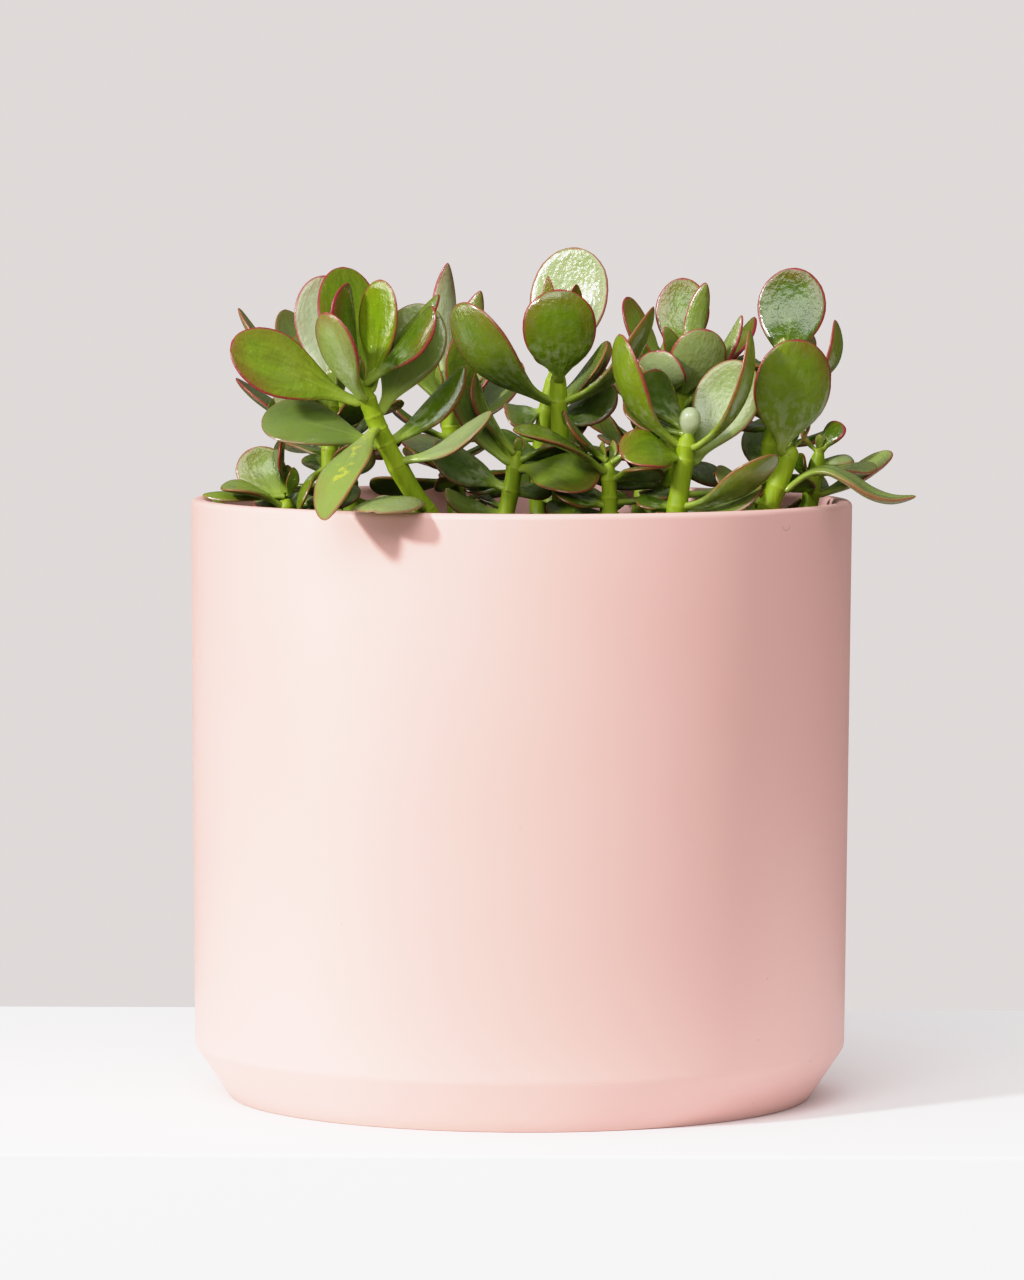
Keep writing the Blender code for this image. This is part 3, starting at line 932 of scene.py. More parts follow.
OUTLINES = {
    LeafShape.ROUND: (
        (0.0, 0.0), (0.08, 0.0), (0.14, 0.04), (0.20, 0.18), (0.27, 0.42), (0.35, 0.65),
        (0.44, 0.84), (0.53, 0.95), (0.62, 1.0), (0.71, 0.985), (0.79, 0.92), (0.86, 0.81),
        (0.92, 0.64), (0.96, 0.47), (0.985, 0.29), (0.995, 0.16), (1.0, 0.0),
    ),
    LeafShape.SPOON: (
        (0.0, 0.0), (0.05, 0.0), (0.12, 0.02), (0.18, 0.06), (0.25, 0.20), (0.33, 0.42),
        (0.42, 0.66), (0.52, 0.87), (0.60, 0.97), (0.66, 1.0), (0.73, 0.985), (0.80, 0.92),
        (0.86, 0.82), (0.91, 0.69), (0.95, 0.54), (0.98, 0.35), (0.993, 0.20), (1.0, 0.0),
    ),
    LeafShape.BLADE: (
        (0.0, 0.0), (0.05, 0.02), (0.12, 0.10), (0.20, 0.27), (0.30, 0.53), (0.40, 0.78),
        (0.50, 0.95), (0.57, 1.0), (0.65, 0.975), (0.73, 0.89), (0.80, 0.77), (0.86, 0.64),
        (0.91, 0.50), (0.95, 0.36), (0.98, 0.21), (0.993, 0.12), (1.0, 0.0),
    ),
}
THICKNESS = (
    (0.0, 0.92), (0.18, 0.90), (0.35, 1.0), (0.60, 1.0), (0.80, 0.86), (0.92, 0.62),
    (0.97, 0.42), (0.99, 0.24), (1.0, 0.0),
)
EGG = (
    (0.0, 0.40), (0.25, 0.62), (0.45, 0.93), (0.60, 1.0), (0.80, 0.85), (0.92, 0.58),
    (0.97, 0.38), (0.99, 0.22), (1.0, 0.0),
)
STATIONS = (
    0.0, 0.02, 0.05, 0.08, 0.11, 0.14, 0.17, 0.20, 0.235, 0.27, 0.31, 0.35, 0.39, 0.43, 0.47,
    0.51, 0.55, 0.59, 0.63, 0.67, 0.71, 0.75, 0.79, 0.825, 0.86, 0.89, 0.915, 0.94, 0.96,
    0.976, 0.988, 0.996, 1.0,
)
SIDES = 28


def table_at(table: Sequence[tuple[float, float]], at: np.ndarray) -> np.ndarray:
    """Return a table's values on the straight lines between its rows."""
    places, values = zip(*table)
    return np.interp(at, places, values)


@dataclass(frozen=True)
class Looks:
    """How a leaf's skin differs from its neighbours': deep is its own darker green and painted
    shade for a leaf in shade; bloom is waxy bloom and painted sheen.
    """

    deep: float = 0.3
    bloom: float = 0.1
    blush: float = 0.6
    fleck: float = 0.0


@dataclass(frozen=True)
class Lattice:
    """The points of a leaf before it is laid: along it, across it and through it."""

    along: np.ndarray
    across: np.ndarray
    through: np.ndarray
    faces: list[tuple[int, ...]]

    @staticmethod
    def coarse(rows: int = 12, sides: int = 10) -> "Lattice":
        """Return a light lattice for finding leaves that meet.

        Args:
            rows: rings along the leaf.
            sides: points in each ring.

        Returns:
            The lattice.
        """
        along = np.repeat(np.linspace(0.24, 0.985, rows), sides)
        angle = np.tile(np.arange(sides) * math.tau / sides, rows)
        faces = [
            (row * sides + side, row * sides + (side + 1) % sides,
             (row + 1) * sides + (side + 1) % sides, (row + 1) * sides + side)
            for row in range(rows - 1) for side in range(sides)
        ]
        return Lattice(along, np.cos(angle), np.sin(angle), faces)


@dataclass(frozen=True)
class Spine:
    """A leaf's middle line, and at each place the way across and out of its upper face."""

    middle: np.ndarray
    across: np.ndarray
    upper: np.ndarray
    cup: np.ndarray

    @staticmethod
    def of_line(middle: np.ndarray, across: np.ndarray, cup: np.ndarray) -> "Spine":
        """Return a spine whose directions are square to each other.

        Args:
            middle: the middle line.
            across: roughly the way across.
            cup: how far the edges stand up.

        Returns:
            The spine.
        """
        along = unit(np.gradient(middle, axis=0))
        across = unit(across - along * np.sum(across * along, axis=1, keepdims=True))
        return Spine(middle, across, np.cross(along, across), cup)

    def at(self, along: np.ndarray) -> tuple[np.ndarray, np.ndarray, np.ndarray, np.ndarray]:
        """Return the middle, the two directions and the cup at some shares of the length.

        Args:
            along: the shares.

        Returns:
            The middle, the way across, the way up and the cup.
        """
        places = np.linspace(0.0, 1.0, len(self.middle))
        rows = np.column_stack([self.middle, self.across, self.upper, self.cup])
        found = np.column_stack([np.interp(along, places, column) for column in rows.T])
        return found[:, :3], found[:, 3:6], found[:, 6:9], found[:, 9]

    @property
    def length(self) -> float:
        """Return the length along the middle."""
        return float(np.linalg.norm(np.diff(self.middle, axis=0), axis=1).sum())


@dataclass(frozen=True)
class Blade:
    """One leaf as it grows."""

    spine: Spine
    width: float
    looks: Looks
    phase: float = 0.0
    petiole: float = 4.0 * MM
    belly: float = 1.6 * MM
    groove: float = 0.30 * MM
    wave: float = 0.30 * MM
    plump: float = 0.13
    broad: float = 19.0 * MM
    thickness: tuple[tuple[float, float], ...] = THICKNESS

    @property
    def shape(self) -> LeafShape:
        """Return the outline that suits the leaf's size.

        Returns:
            The outline.
        """
        if self.width > 0.58 * self.spine.length:
            return LeafShape.ROUND
        slender = self.width < 0.34 * self.spine.length or self.width < 11.0 * MM
        return LeafShape.BLADE if slender else LeafShape.SPOON

    def half_width(self, along: np.ndarray) -> np.ndarray:
        """Return half the width at some shares of the length.

        Args:
            along: the shares.

        Returns:
            Half the width at each.
        """
        stalk = min(self.petiole, 0.34 * self.width) / 2 * eased(along, 1.0, 0.62)
        share = table_at(OUTLINES[self.shape], along)
        return stalk + (self.width / 2 - stalk) * share

    def points(self, lattice: Lattice) -> np.ndarray:
        """Return the lattice's points laid over the spine.

        Args:
            lattice: the lattice.

        Returns:
            One row per point.
        """
        t, side = lattice.along, np.sign(lattice.across) * np.abs(lattice.across) ** EDGE_POWER
        middle, across, upper, cup = self.spine.at(t)
        half = self.half_width(t)
        out = half * side * (1.0 + 0.018 * np.sin(9.0 * t + 3.0 * side + self.phase))
        belly = min(self.belly, self.plump * self.width) * table_at(self.thickness, t)
        rise = lattice.through * belly + cup * side * side
        channel = np.exp(-((out / (1.5 * MM)) ** 2)) * eased(t, 0.85, 0.35) * eased(t, 0.0, 0.15)
        rise -= self.groove * channel * lattice.through
        ripple = np.sin(7.5 * t + 1.8 * np.sign(side) + self.phase)
        rise += self.wave * side**2 * ripple * eased(t, 0.2, 0.6)
        return middle + across * out[:, None] + upper * rise[:, None]

    def rim(self, lattice: Lattice) -> np.ndarray:
        """Return how far each point is from the leaf's outline, stretched on a small leaf.

        Args:
            lattice: the lattice.

        Returns:
            One distance per point.
        """
        side = np.abs(lattice.across) ** EDGE_POWER
        sideways = self.half_width(lattice.along) * (1.0 - side)
        endways = self.spine.length * (1.0 - lattice.along)
        stretch = max(1.0, self.broad / self.width) ** 0.7
        return stretch * np.where(lattice.along > 0.6, np.minimum(sideways, endways), sideways)


class LeafMould:
    """The one modelled leaf that every leaf is a copy of."""

    def __init__(self, finish: LeafSkin) -> None:
        """Model the leaf and note where each of its points is.

        Args:
            finish: the skin.
        """
        self.skin = finish.make()
        along = np.array(STATIONS[:-1])
        wide = 0.14 * eased(along, 1.0, 0.62) + 0.86 * table_at(OUTLINES[LeafShape.SPOON], along)
        deep = 0.12 * table_at(THICKNESS, along)
        rings = list(zip(along.tolist(), wide.tolist(), deep.tolist()))
        self.master = Bench.loft("leaf_mould", SIDES, rings)
        self._point_the_tip(rings[-1][0])
        Bench.smooth(self.master, 180.0)
        self.master.data.materials.append(self.skin)
        self.lattice = self._measure(rings)
        self._map()

    def _point_the_tip(self, last: float) -> None:
        """Draw the last ring out into a point.

        Args:
            last: the height of the last ring.
        """
        Bench.pick(self.master, "VERT", lambda vertex: vertex.co.z > last - LEVEL)
        bpy.ops.mesh.extrude_region_move(TRANSFORM_OT_translate={"value": (0.0, 0.0, 1.0 - last)})
        bpy.ops.mesh.merge(type="CENTER")
        Bench.close(self.master)

    def _measure(self, rings: Sequence[tuple[float, float, float]]) -> Lattice:
        """Return the lattice of the master's points.

        Args:
            rings: the rings that the master was made with.

        Returns:
            The lattice.
        """
        points = points_of(self.master)
        places, wide, deep = (np.array(part) for part in zip(*rings))
        inner = points[:, 2] < places[-1] + LEVEL
        across = np.where(inner, points[:, 0] / np.interp(points[:, 2], places, wide), 0.0)
        through = np.where(inner, points[:, 1] / np.interp(points[:, 2], places, deep), 0.0)
        faces = [tuple(face.vertices) for face in self.master.data.polygons]
        return Lattice(points[:, 2], np.clip(across, -1, 1), np.clip(through, -1, 1), faces)

    def _map(self) -> None:
        """Give the master a map that runs across and along the leaf."""
        layer = self.master.data.uv_layers.new(name="leaf")
        side = np.sign(self.lattice.across) * np.abs(self.lattice.across) ** EDGE_POWER
        corner = np.zeros(len(self.master.data.loops), dtype=np.int32)
        self.master.data.loops.foreach_get("vertex_index", corner)
        rows = np.column_stack([(side[corner] + 1.0) / 2.0, self.lattice.along[corner]])
        layer.data.foreach_set("uv", rows.astype(np.float32).ravel())

    def cast(self, blade: Blade, name: str) -> bpy.types.Object:
        """Return a copy of the leaf, laid over a blade's spine.

        Args:
            blade: the leaf to make.
            name: of the piece.

        Returns:
            The leaf.
        """
        piece = Bench.copy(self.master, name)
        move_points(piece, blade.points(self.lattice))
        set_values(piece, "upper", (self.lattice.through + 1.0) / 2.0)
        set_values(piece, "rim", blade.rim(self.lattice))
        for trait in ("deep", "bloom", "blush", "fleck"):
            set_values(piece, trait, getattr(blade.looks, trait))
        return piece

    def clear(self) -> None:
        """Put the mould away."""
        bpy.data.objects.remove(self.master)


def solid_spine(
    node: bpy.types.Object, root: Callable[[np.ndarray], np.ndarray]
) -> tuple[Spine, float]:
    """Return the spine and the width of a packed leaf.

    Args:
        node: the leaf's solid.
        root: returns the point inside the stem that a leaf's foot grows from.

    Returns:
        The spine, carried on into the stem, and the greatest width.
    """
    points, pairs = merged_solid(node)
    poles = np.flatnonzero(np.bincount(np.array(pairs).ravel()) == 8)
    ends = points[poles]
    ring_points = np.delete(points, poles, axis=0)
    order = np.argsort((ring_points - ends[0]) @ (ends[1] - ends[0]))
    rings = ring_points[order].reshape(-1, 8, 3)
    if np.ptp(rings[0], axis=0).max() > np.ptp(rings[-1], axis=0).max():
        rings, ends = rings[::-1], ends[::-1]
    middles, acrosses, cups, width = [], [], [], 0.0
    for ring in rings:
        apart = np.linalg.norm(ring[:, None] - ring[None], axis=2)
        first, second = np.unravel_index(apart.argmax(), apart.shape)
        across = unit(ring[second] - ring[first])
        if acrosses and across @ acrosses[-1] < 0.0:
            across = -across
        edge = (ring[first] + ring[second]) / 2.0
        middle = ring[np.argsort(np.abs((ring - edge) @ across))[:2]].mean(axis=0)
        middles.append(middle)
        acrosses.append(across)
        cups.append(edge - middle)
        width = max(width, float(apart.max()))
    chord = ends[1] - ends[0]
    acrosses = np.array([acrosses[0], acrosses[0], *acrosses, acrosses[-1]])
    cups = np.array([np.zeros(3), np.zeros(3), *cups, np.zeros(3)])
    foot = root(ends[0])
    knots = np.array([foot, ends[0], *middles, ends[1]])
    places = (knots - ends[0]) @ chord / (chord @ chord)
    places[0] = -np.linalg.norm(foot - ends[0]) / np.linalg.norm(chord)
    places[2:-1] = np.maximum(places[2:-1], 0.012)
    at = np.linspace(places[0], 1.0, 60)
    line = curve_through(knots, places, at)
    ways = np.column_stack([np.interp(at, places, column) for column in acrosses.T])
    along = unit(np.gradient(line, axis=0))
    lifts = np.column_stack([np.interp(at, places, column) for column in cups.T])
    if np.sum(np.cross(along, ways) * lifts) < 0.0:
        ways = -ways
    spine = Spine.of_line(line, ways, np.zeros(len(at)))
    cup = np.sum(spine.upper * lifts, axis=1)
    return Spine(spine.middle, spine.across, spine.upper, cup), width


def grown_spine(
    foot: np.ndarray, reach: np.ndarray, width: float, turn: float, curl: float
) -> Spine:
    """Return the spine of a leaf from its foot and reach.

    Args:
        foot: where it starts, inside the stem.
        reach: from the foot to the tip.
        width: the greatest width.
        turn: degrees rolled about the reach; at 0 the upper face looks up as far as it can.
        curl: drop of the middle below the reach.

    Returns:
        The spine.
    """
    way = Vector(reach).normalized()
    upper = (Vector((0.0, 0.0, 1.0)) - way * way.z).normalized()
    upper = Matrix.Rotation(math.radians(turn), 3, way) @ upper
    across = np.array(upper.cross(way))
    share = np.linspace(0.0, 1.0, 41)
    drop = (curl * 4 * share * (1 - share))[:, None]
    line = foot + share[:, None] * reach - np.array(upper) * drop
    cup = 0.085 * width * eased(share, 0.15, 0.6) * eased(share, 1.1, 0.8)
    return Spine.of_line(line, -np.repeat(across[None], len(share), axis=0), cup)


# ---- stems -----------------------------------------------------------------------------
@dataclass
class StemPath:
    """The middle line and girth of a packed stem, from under the soil to its tip."""

    name: str
    line: np.ndarray
    radius: np.ndarray
    joints: list[float] = field(default_factory=list)

    @staticmethod
    def of_solid(name: str, node: bpy.types.Object, start: float) -> "StemPath":
        """Return a packed stem's path.

        Args:
            name: the stem's name.
            node: its solid.
            start: the height that the path begins at.

        Returns:
            The path, at 121 even places.
        """
        points, _ = merged_solid(node)
        by_height = points[np.argsort(points[:, 2])]
        chord = by_height[-8:].mean(axis=0) - by_height[:8].mean(axis=0)
        rings = points[np.argsort(points @ chord)].reshape(-1, 8, 3)
        middles = rings.mean(axis=1)
        girth = np.linalg.norm(rings - middles[:, None], axis=2).mean(axis=1)
        gaps = np.linalg.norm(np.diff(middles, axis=0), axis=1)
        places = np.concatenate([[0.0], np.cumsum(gaps)])
        dense = np.linspace(0.0, places[-1], 400)
        line = curve_through(middles, places, dense)
        kept = line[:, 2] >= start
        line, radius = line[kept], np.interp(dense, places, girth)[kept]
        even = np.linspace(0.0, 1.0, 121)
        share = np.linspace(0.0, 1.0, len(line))
        line = np.column_stack([np.interp(even, share, column) for column in line.T])
        radius = np.interp(even, share, radius)
        radius = np.maximum(radius, 0.86 * np.median(radius))
        from_tip = (1.0 - even) * np.linalg.norm(np.diff(line, axis=0), axis=1).sum()
        radius *= 1.0 - 0.38 * eased(from_tip, 6.0 * MM, 0.0)
        return StemPath(name, line, radius)

    @property
    def length(self) -> float:
        """Return the length along the middle."""
        return float(np.linalg.norm(np.diff(self.line, axis=0), axis=1).sum())

    def at(self, share: float) -> tuple[np.ndarray, np.ndarray, float]:
        """Return the point, the direction and the radius at a share of the length.

        Args:
            share: the share.

        Returns:
            The point, the direction and the radius.
        """
        places = np.linspace(0.0, 1.0, len(self.line))
        along = unit(np.gradient(self.line, axis=0))
        columns = np.column_stack([self.line, along]).T
        row = [np.interp(share, places, column) for column in columns]
        radius = float(np.interp(share, places, self.radius))
        return np.array(row[:3]), unit(np.array(row[3:])), radius

    def nearest(self, point: np.ndarray) -> float:
        """Return the share of the length that is nearest to a point."""
        index = int(np.linalg.norm(self.line - point, axis=1).argmin())
        return index / (len(self.line) - 1)

    def foot_of(self, point: np.ndarray) -> np.ndarray:
        """Return a point inside the stem for a leaf whose foot is near it.

        Args:
            point: the leaf's foot.

        Returns:
            The point inside.
        """
        middle, way, radius = self.at(self.nearest(point))
        off = point - middle
        off -= way * (off @ way)
        return middle + unit(off) * FOOT_DEPTH * radius - way * 0.6 * MM

    def settle_joints(self, spacing: float) -> None:
        """Merge joints that are close together and add more where they are far apart.

        Args:
            spacing: the wanted length from joint to joint.
        """
        ends = [0.0, *sorted(self.joints), 0.985]
        kept = [ends[0]]
        for place in ends[1:]:
            if (place - kept[-1]) * self.length < 0.35 * spacing:
                continue
            count = max(1, round((place - kept[-1]) * self.length / spacing))
            kept += [kept[-1] + (place - kept[-1]) * step / count for step in range(1, count + 1)]
        self.joints = kept


class StemMould:
    """The one modelled length of stem, from joint to joint, that every stem is made of."""

    PROFILE = (
        (0.0, 1.050), (0.03, 1.055), (0.07, 1.035), (0.13, 1.010), (0.25, 0.985), (0.42, 0.975),
        (0.60, 0.975), (0.76, 0.985), (0.87, 1.000), (0.93, 1.020), (0.97, 1.040), (1.0, 1.050),
    )
    DOME = ((0.30, 0.96), (0.62, 0.80), (0.90, 0.52), (1.05, 0.22))
    SIDES = 20

    def __init__(self, finish: StemSkin) -> None:
        """Model one length.

        Args:
            finish: the skin.
        """
        self.skin = finish.make()
        rings = [(height, girth, girth) for height, girth in self.PROFILE]
        self.master = Bench.loft("stem_mould", self.SIDES, rings)
        Bench.pick(self.master, "FACE", lambda face: len(face.vertices) == self.SIDES)
        bpy.ops.mesh.delete(type="FACE")
        bpy.ops.object.mode_set(mode="OBJECT")

    def cast(self, path: StemPath) -> bpy.types.Object:
        """Return a stem along a path.

        Args:
            path: the path, with its joints settled.

        Returns:
            The stem.
        """
        piece = Bench.copy(self.master, f"jade_stem_{path.name}")
        count = len(path.joints) - 1
        Bench.modify(
            piece, "ARRAY", count=count, use_relative_offset=False, use_constant_offset=True,
            constant_offset_displace=(0.0, 0.0, 1.0), use_merge_vertices=True,
            merge_threshold=0.002,
        )
        self._cap(piece, float(count))
        points = points_of(piece)
        over = np.maximum(points[:, 2] - count, 0.0)
        share = np.interp(points[:, 2], range(count + 1), path.joints)
        rows = np.array([np.hstack(path.at(place)) for place in share])
        middle, way, radius = rows[:, :3], rows[:, 3:6], rows[:, 6:]
        side = unit(np.array([1.0, 0.0, 0.0]) - way * way[:, :1])
        front = np.cross(way, side)
        around = np.arctan2(points[:, 1], points[:, 0])
        lumps = 1.0 + 0.03 * np.sin(5.0 * points[:, 2] + 2.0 * around)
        flat = (side * points[:, :1] + front * points[:, 1:2]) * radius * lumps[:, None]
        move_points(piece, middle + flat + way * (over[:, None] * radius))
        nearest = np.abs(share[:, None] - np.array(path.joints)[None]).min(axis=1) * path.length
        set_values(piece, "joint", np.exp(-((nearest / (1.5 * MM)) ** 2)))
        set_values(piece, "low", eased(share, 0.62, 0.05))
        piece.data.materials.append(self.skin)
        Bench.smooth(piece, 180.0)
        return piece

    def _cap(self, piece: bpy.types.Object, top: float) -> None:
        """Close a stem's foot with a face and its tip with a dome.

        Args:
            piece: the stem, still straight.
            top: the height of its open top.
        """
        Bench.pick(piece, "VERT", lambda vertex: abs(vertex.co.z) < LEVEL)
        bpy.ops.mesh.edge_face_add()
        Bench.pick(piece, "VERT", lambda vertex: abs(vertex.co.z - top) < LEVEL)
        girth = self.PROFILE[-1][1]
        height = 0.0
        for rise, size in self.DOME:
            bpy.ops.mesh.extrude_region_move(
                TRANSFORM_OT_translate={"value": (0.0, 0.0, rise - height)}
            )
            bpy.ops.transform.resize(
                value=(size / girth, size / girth, 1.0), center_override=(0.0, 0.0, top + rise)
            )
            girth, height = size, rise
        bpy.ops.mesh.extrude_region_move(TRANSFORM_OT_translate={"value": (0.0, 0.0, 0.04)})
        bpy.ops.mesh.merge(type="CENTER")
        Bench.close(piece, 1e-5)

    def clear(self) -> None:
        """Put the mould away."""
        bpy.data.objects.remove(self.master)


# ---- growing ---------------------------------------------------------------------------
class Thicket:
    """Everything that has grown so far, so that new leaves can keep clear of it."""

    def __init__(self, room: tuple[Vector, Vector], eye: Vector) -> None:
        """Start an empty thicket.

        Args:
            room: the lowest and highest corner that new leaves stay in.
            eye: the point in front that hidden leaves are hidden from.
        """
        self.room = np.array(room)
        self.eye = eye
        self.grown: list[tuple[BVHTree, np.ndarray, np.ndarray]] = []
        self.coarse = Lattice.coarse()
        self.fixed = 0

    def add_solid(self, node: bpy.types.Object) -> None:
        """Note a solid that leaves keep clear of but may stand in front of."""
        self.add(points_of(node), [tuple(face.vertices) for face in node.data.polygons])
        self.fixed = len(self.grown)

    def add(self, points: np.ndarray, faces: Sequence[tuple[int, ...]]) -> None:
        """Note a grown piece."""
        tree = BVHTree.FromPolygons(points.tolist(), faces)
        self.grown.append((tree, points.min(axis=0), points.max(axis=0)))

    def add_blade(self, blade: Blade) -> None:
        """Note a grown leaf."""
        self.add(blade.points(self.coarse), self.coarse.faces)

    def crossings(self, blade: Blade) -> int:
        """Return how many faces of a leaf cut through what has grown.

        Args:
            blade: the leaf.

        Returns:
            The number of pairs of faces that cross.
        """
        points = blade.points(self.coarse)
        low, high = points.min(axis=0), points.max(axis=0)
        tree = BVHTree.FromPolygons(points.tolist(), self.coarse.faces)
        return sum(
            len(tree.overlap(other))
            for other, least, most in self.grown
            if np.all(low <= most) and np.all(high >= least)
        )

    def fits(self, blade: Blade) -> bool:
        """Return whether a leaf stays in the room."""
        points = blade.points(self.coarse)
        return bool(np.all(points >= self.room[0]) and np.all(points <= self.room[1]))

    def covering(self, blade: Blade) -> float:
        """Return the share of a leaf that stands in front of others, seen from the front.

        Args:
            blade: the leaf.

        Returns:
            The share, from 0 to 1.
        """
        points = [Vector(point) for point in blade.points(self.coarse)[::4]]
        leaves = self.grown[self.fixed:]
        count = 0
        for point in points:
            way = (point - self.eye).normalized()
            near = (point - self.eye).length - 1.0 * MM
            if any(tree.ray_cast(self.eye, way, near)[0] is not None for tree, _, _ in self.grown):
                continue
            past = point + way * 1.0 * MM
            count += any(tree.ray_cast(past, way, 0.3)[0] is not None for tree, _, _ in leaves)
        return count / len(points)

    def hidden(self, blade: Blade) -> float:
        """Return the share of a leaf that what has grown hides from the front.

        Args:
            blade: the leaf.

        Returns:
            The share, from 0 to 1.
        """
        points = [Vector(point) for point in blade.points(self.coarse)[::3]]
        count = 0
        for point in points:
            way = (point - self.eye).normalized()
            far = (point - self.eye).length - 1.0 * MM
            count += any(
                tree.ray_cast(self.eye, way, far)[0] is not None for tree, _, _ in self.grown
            )
        return count / len(points)


@dataclass(frozen=True)
class Sprig:
    """One small leaf: its stem and share along it, its reach in millimetres, and its look."""

    stem: str
    at: float
    reach: tuple[float, float, float]
    width: float
    turn: float
    curl: float
    # deep: the leaf's own darker green and painted shade; bloom: waxy bloom and painted sheen
    deep: float
    bloom: float
    blush: float
    fleck: float = 0.0


SPRIGS = (
    Sprig("left_front", 1.00, (24, -10, 31), 16, 50, 3, 0.8, 0.0, 0.8),
    Sprig("left_front", 1.00, (-2, 9, 37), 19, 0, 3, 0.7, 0.0, 1.0),
    Sprig("left_front", 1.00, (23, 3, 38), 9, 40, 2, 0.55, 0.0, 1.0),
    Sprig("left_front", 0.40, (-23, -4, -2), 19, -50, -2, 0.35, 0.5, 0.6),
    Sprig("left_front", 0.73, (29, 10, 29), 13, 35, 5, 0.85, 0.0, 0.3),
    Sprig("left_front", 0.42, (-12, -62, -8), 25, 0, -4, 0.10, 0.5, 0.3),
    Sprig("left_back", 0.58, (-11, -8, -16), 14, 30, -3, 0.3, 0.0, 0.2),
    Sprig("left_back", 0.78, (8, -6, 12), 17, 0, 2, 0.85, 0.0, 0.3),
    Sprig("left_edge", 1.00, (-4, 4, 21), 18, 40, 2, 1.0, 0.0, 0.6),
    Sprig("left_edge", 0.96, (-31, 8, 6), 9, -20, 0, 0.3, 0.0, 0.2),
    Sprig("back", 1.00, (0, 6, 51), 11, 25, 3, 0.0, 1.1, 1.0),
    Sprig("back", 1.00, (13, 4, 40), 10, 80, 2, 0.2, 0.3, 1.0),
    Sprig("back", 0.87, (22, -2, 27), 9, 0, 2, 0.2, 0.4, 1.0),
    Sprig("back", 0.80, (3, -12, 36), 15, 20, 3, 0.3, 0.1, 0.7),
    Sprig("back", 0.74, (-25, 0, 15), 18, 5, 2, 0.95, 0.0, 0.3),
    Sprig("back", 0.58, (-18, -14, 8), 16, -10, 2, 0.9, 0.0, 0.2),
    Sprig("back_left", 0.86, (24, -10, 6), 18, 0, 2, 0.95, 0.0, 0.3),
    Sprig("back_left", 0.62, (20, -14, 9), 17, 5, 2, 0.9, 0.0, 0.3),
    Sprig("centre_back", 0.99, (-4, -3, 35), 6.5, 30, 1, 0.4, 0.0, 1.0),
    Sprig("centre_back", 0.99, (7, -6, 32), 10, -20, 1, 0.6, 0.0, 1.0),
    Sprig("centre_back", 0.77, (-16, -4, 1), 18, -30, 2, 0.9, 0.1, 0.3),
    Sprig("centre_back", 0.70, (27, 6, 16), 20, 30, 3, 0.8, 0.1, 0.4),
    Sprig("centre_back", 0.81, (23, 12, 24), 16, 0, 3, 0.8, 0.0, 0.5),
    Sprig("mid_left", 0.92, (-14, 4, 15), 10, 60, 2, 0.4, 0.0, 0.5),
    Sprig("mid_left", 0.93, (26, 2, 4), 16, -25, -2, 0.95, 0.0, 0.2),
    Sprig("mid_left", 0.99, (-21, -3, 27), 17, -20, 3, 0.75, 0.1, 0.4),
    Sprig("mid_left", 0.72, (-18, 8, 3), 13, -30, 0, 0.9, 0.0, 0.2),
    Sprig("mid_left", 0.52, (-23, -8, 9), 13, -40, 2, 0.5, 0.2, 0.2),
    Sprig("mid_left", 0.71, (-30, 10, 13), 22, -30, 2, 0.95, 0.1, 0.2),
    Sprig("centre_low", 0.84, (20, -10, 4), 15, -20, -1, 0.5, 0.1, 0.3),
    Sprig("centre_low", 1.00, (-17, -2, 19), 16, 0, 2, 0.85, 0.05, 0.3),
    Sprig("centre_low", 0.98, (13, 5, 16), 13, 0, 2, 0.9, 0.0, 0.3),
    Sprig("centre_low", 0.64, (-19, -4, 10), 14, -20, 1, 0.9, 0.0, 0.2),
    Sprig("right_centre", 1.00, (-12, 10, 23), 24, 0, 4, 0.85, 0.0, 0.6),
    Sprig("right_centre", 0.98, (-21, 6, 17), 17, -10, 3, 0.95, 0.0, 0.3),
    Sprig("right_centre", 0.51, (-14, 6, 4), 14, -10, 1, 0.9, 0.0, 0.2),
    Sprig("back_right", 1.00, (8, 4, 32), 9, 75, 2, 0.2, 0.2, 0.9),
    Sprig("back_right", 0.89, (-4, -14, 18), 21, 0, 4, 0.1, 0.75, 0.9),
    Sprig("back_right", 0.89, (-6, -19, 21), 9, 60, 2, 0.3, 0.2, 0.9),
    Sprig("back_right", 0.93, (-13, 8, 19), 17, 0, 3, 0.2, 0.5, 0.8),
    Sprig("back_right", 0.81, (24, -8, 35), 12, 40, 3, 0.3, 0.3, 1.0),
    Sprig("back_right", 0.90, (27, 8, 32), 14, 0, 3, 0.75, 0.0, 0.9),
    Sprig("back_right", 0.89, (-17, -10, 18), 8, 0, 2, 0.8, 0.0, 0.6),
    Sprig("right_back", 0.60, (26, 4, 7), 13, 0, 2, 0.9, 0.0, 0.5),
    Sprig("right_edge", 1.00, (6, 4, 11), 14, 0, 1, 0.9, 0.0, 1.0),
    Sprig("right_edge", 0.98, (-7, 3, 10), 9, 20, 1, 0.2, 0.1, 0.5),
    Sprig("right_edge", 0.87, (14, 6, 1), 16, 0, 0, 0.3, 0.4, 0.2),
    Sprig("right_edge", 0.77, (-5, -2, 10), 11, 0, 2, 0.9, 0.0, 0.2),
)
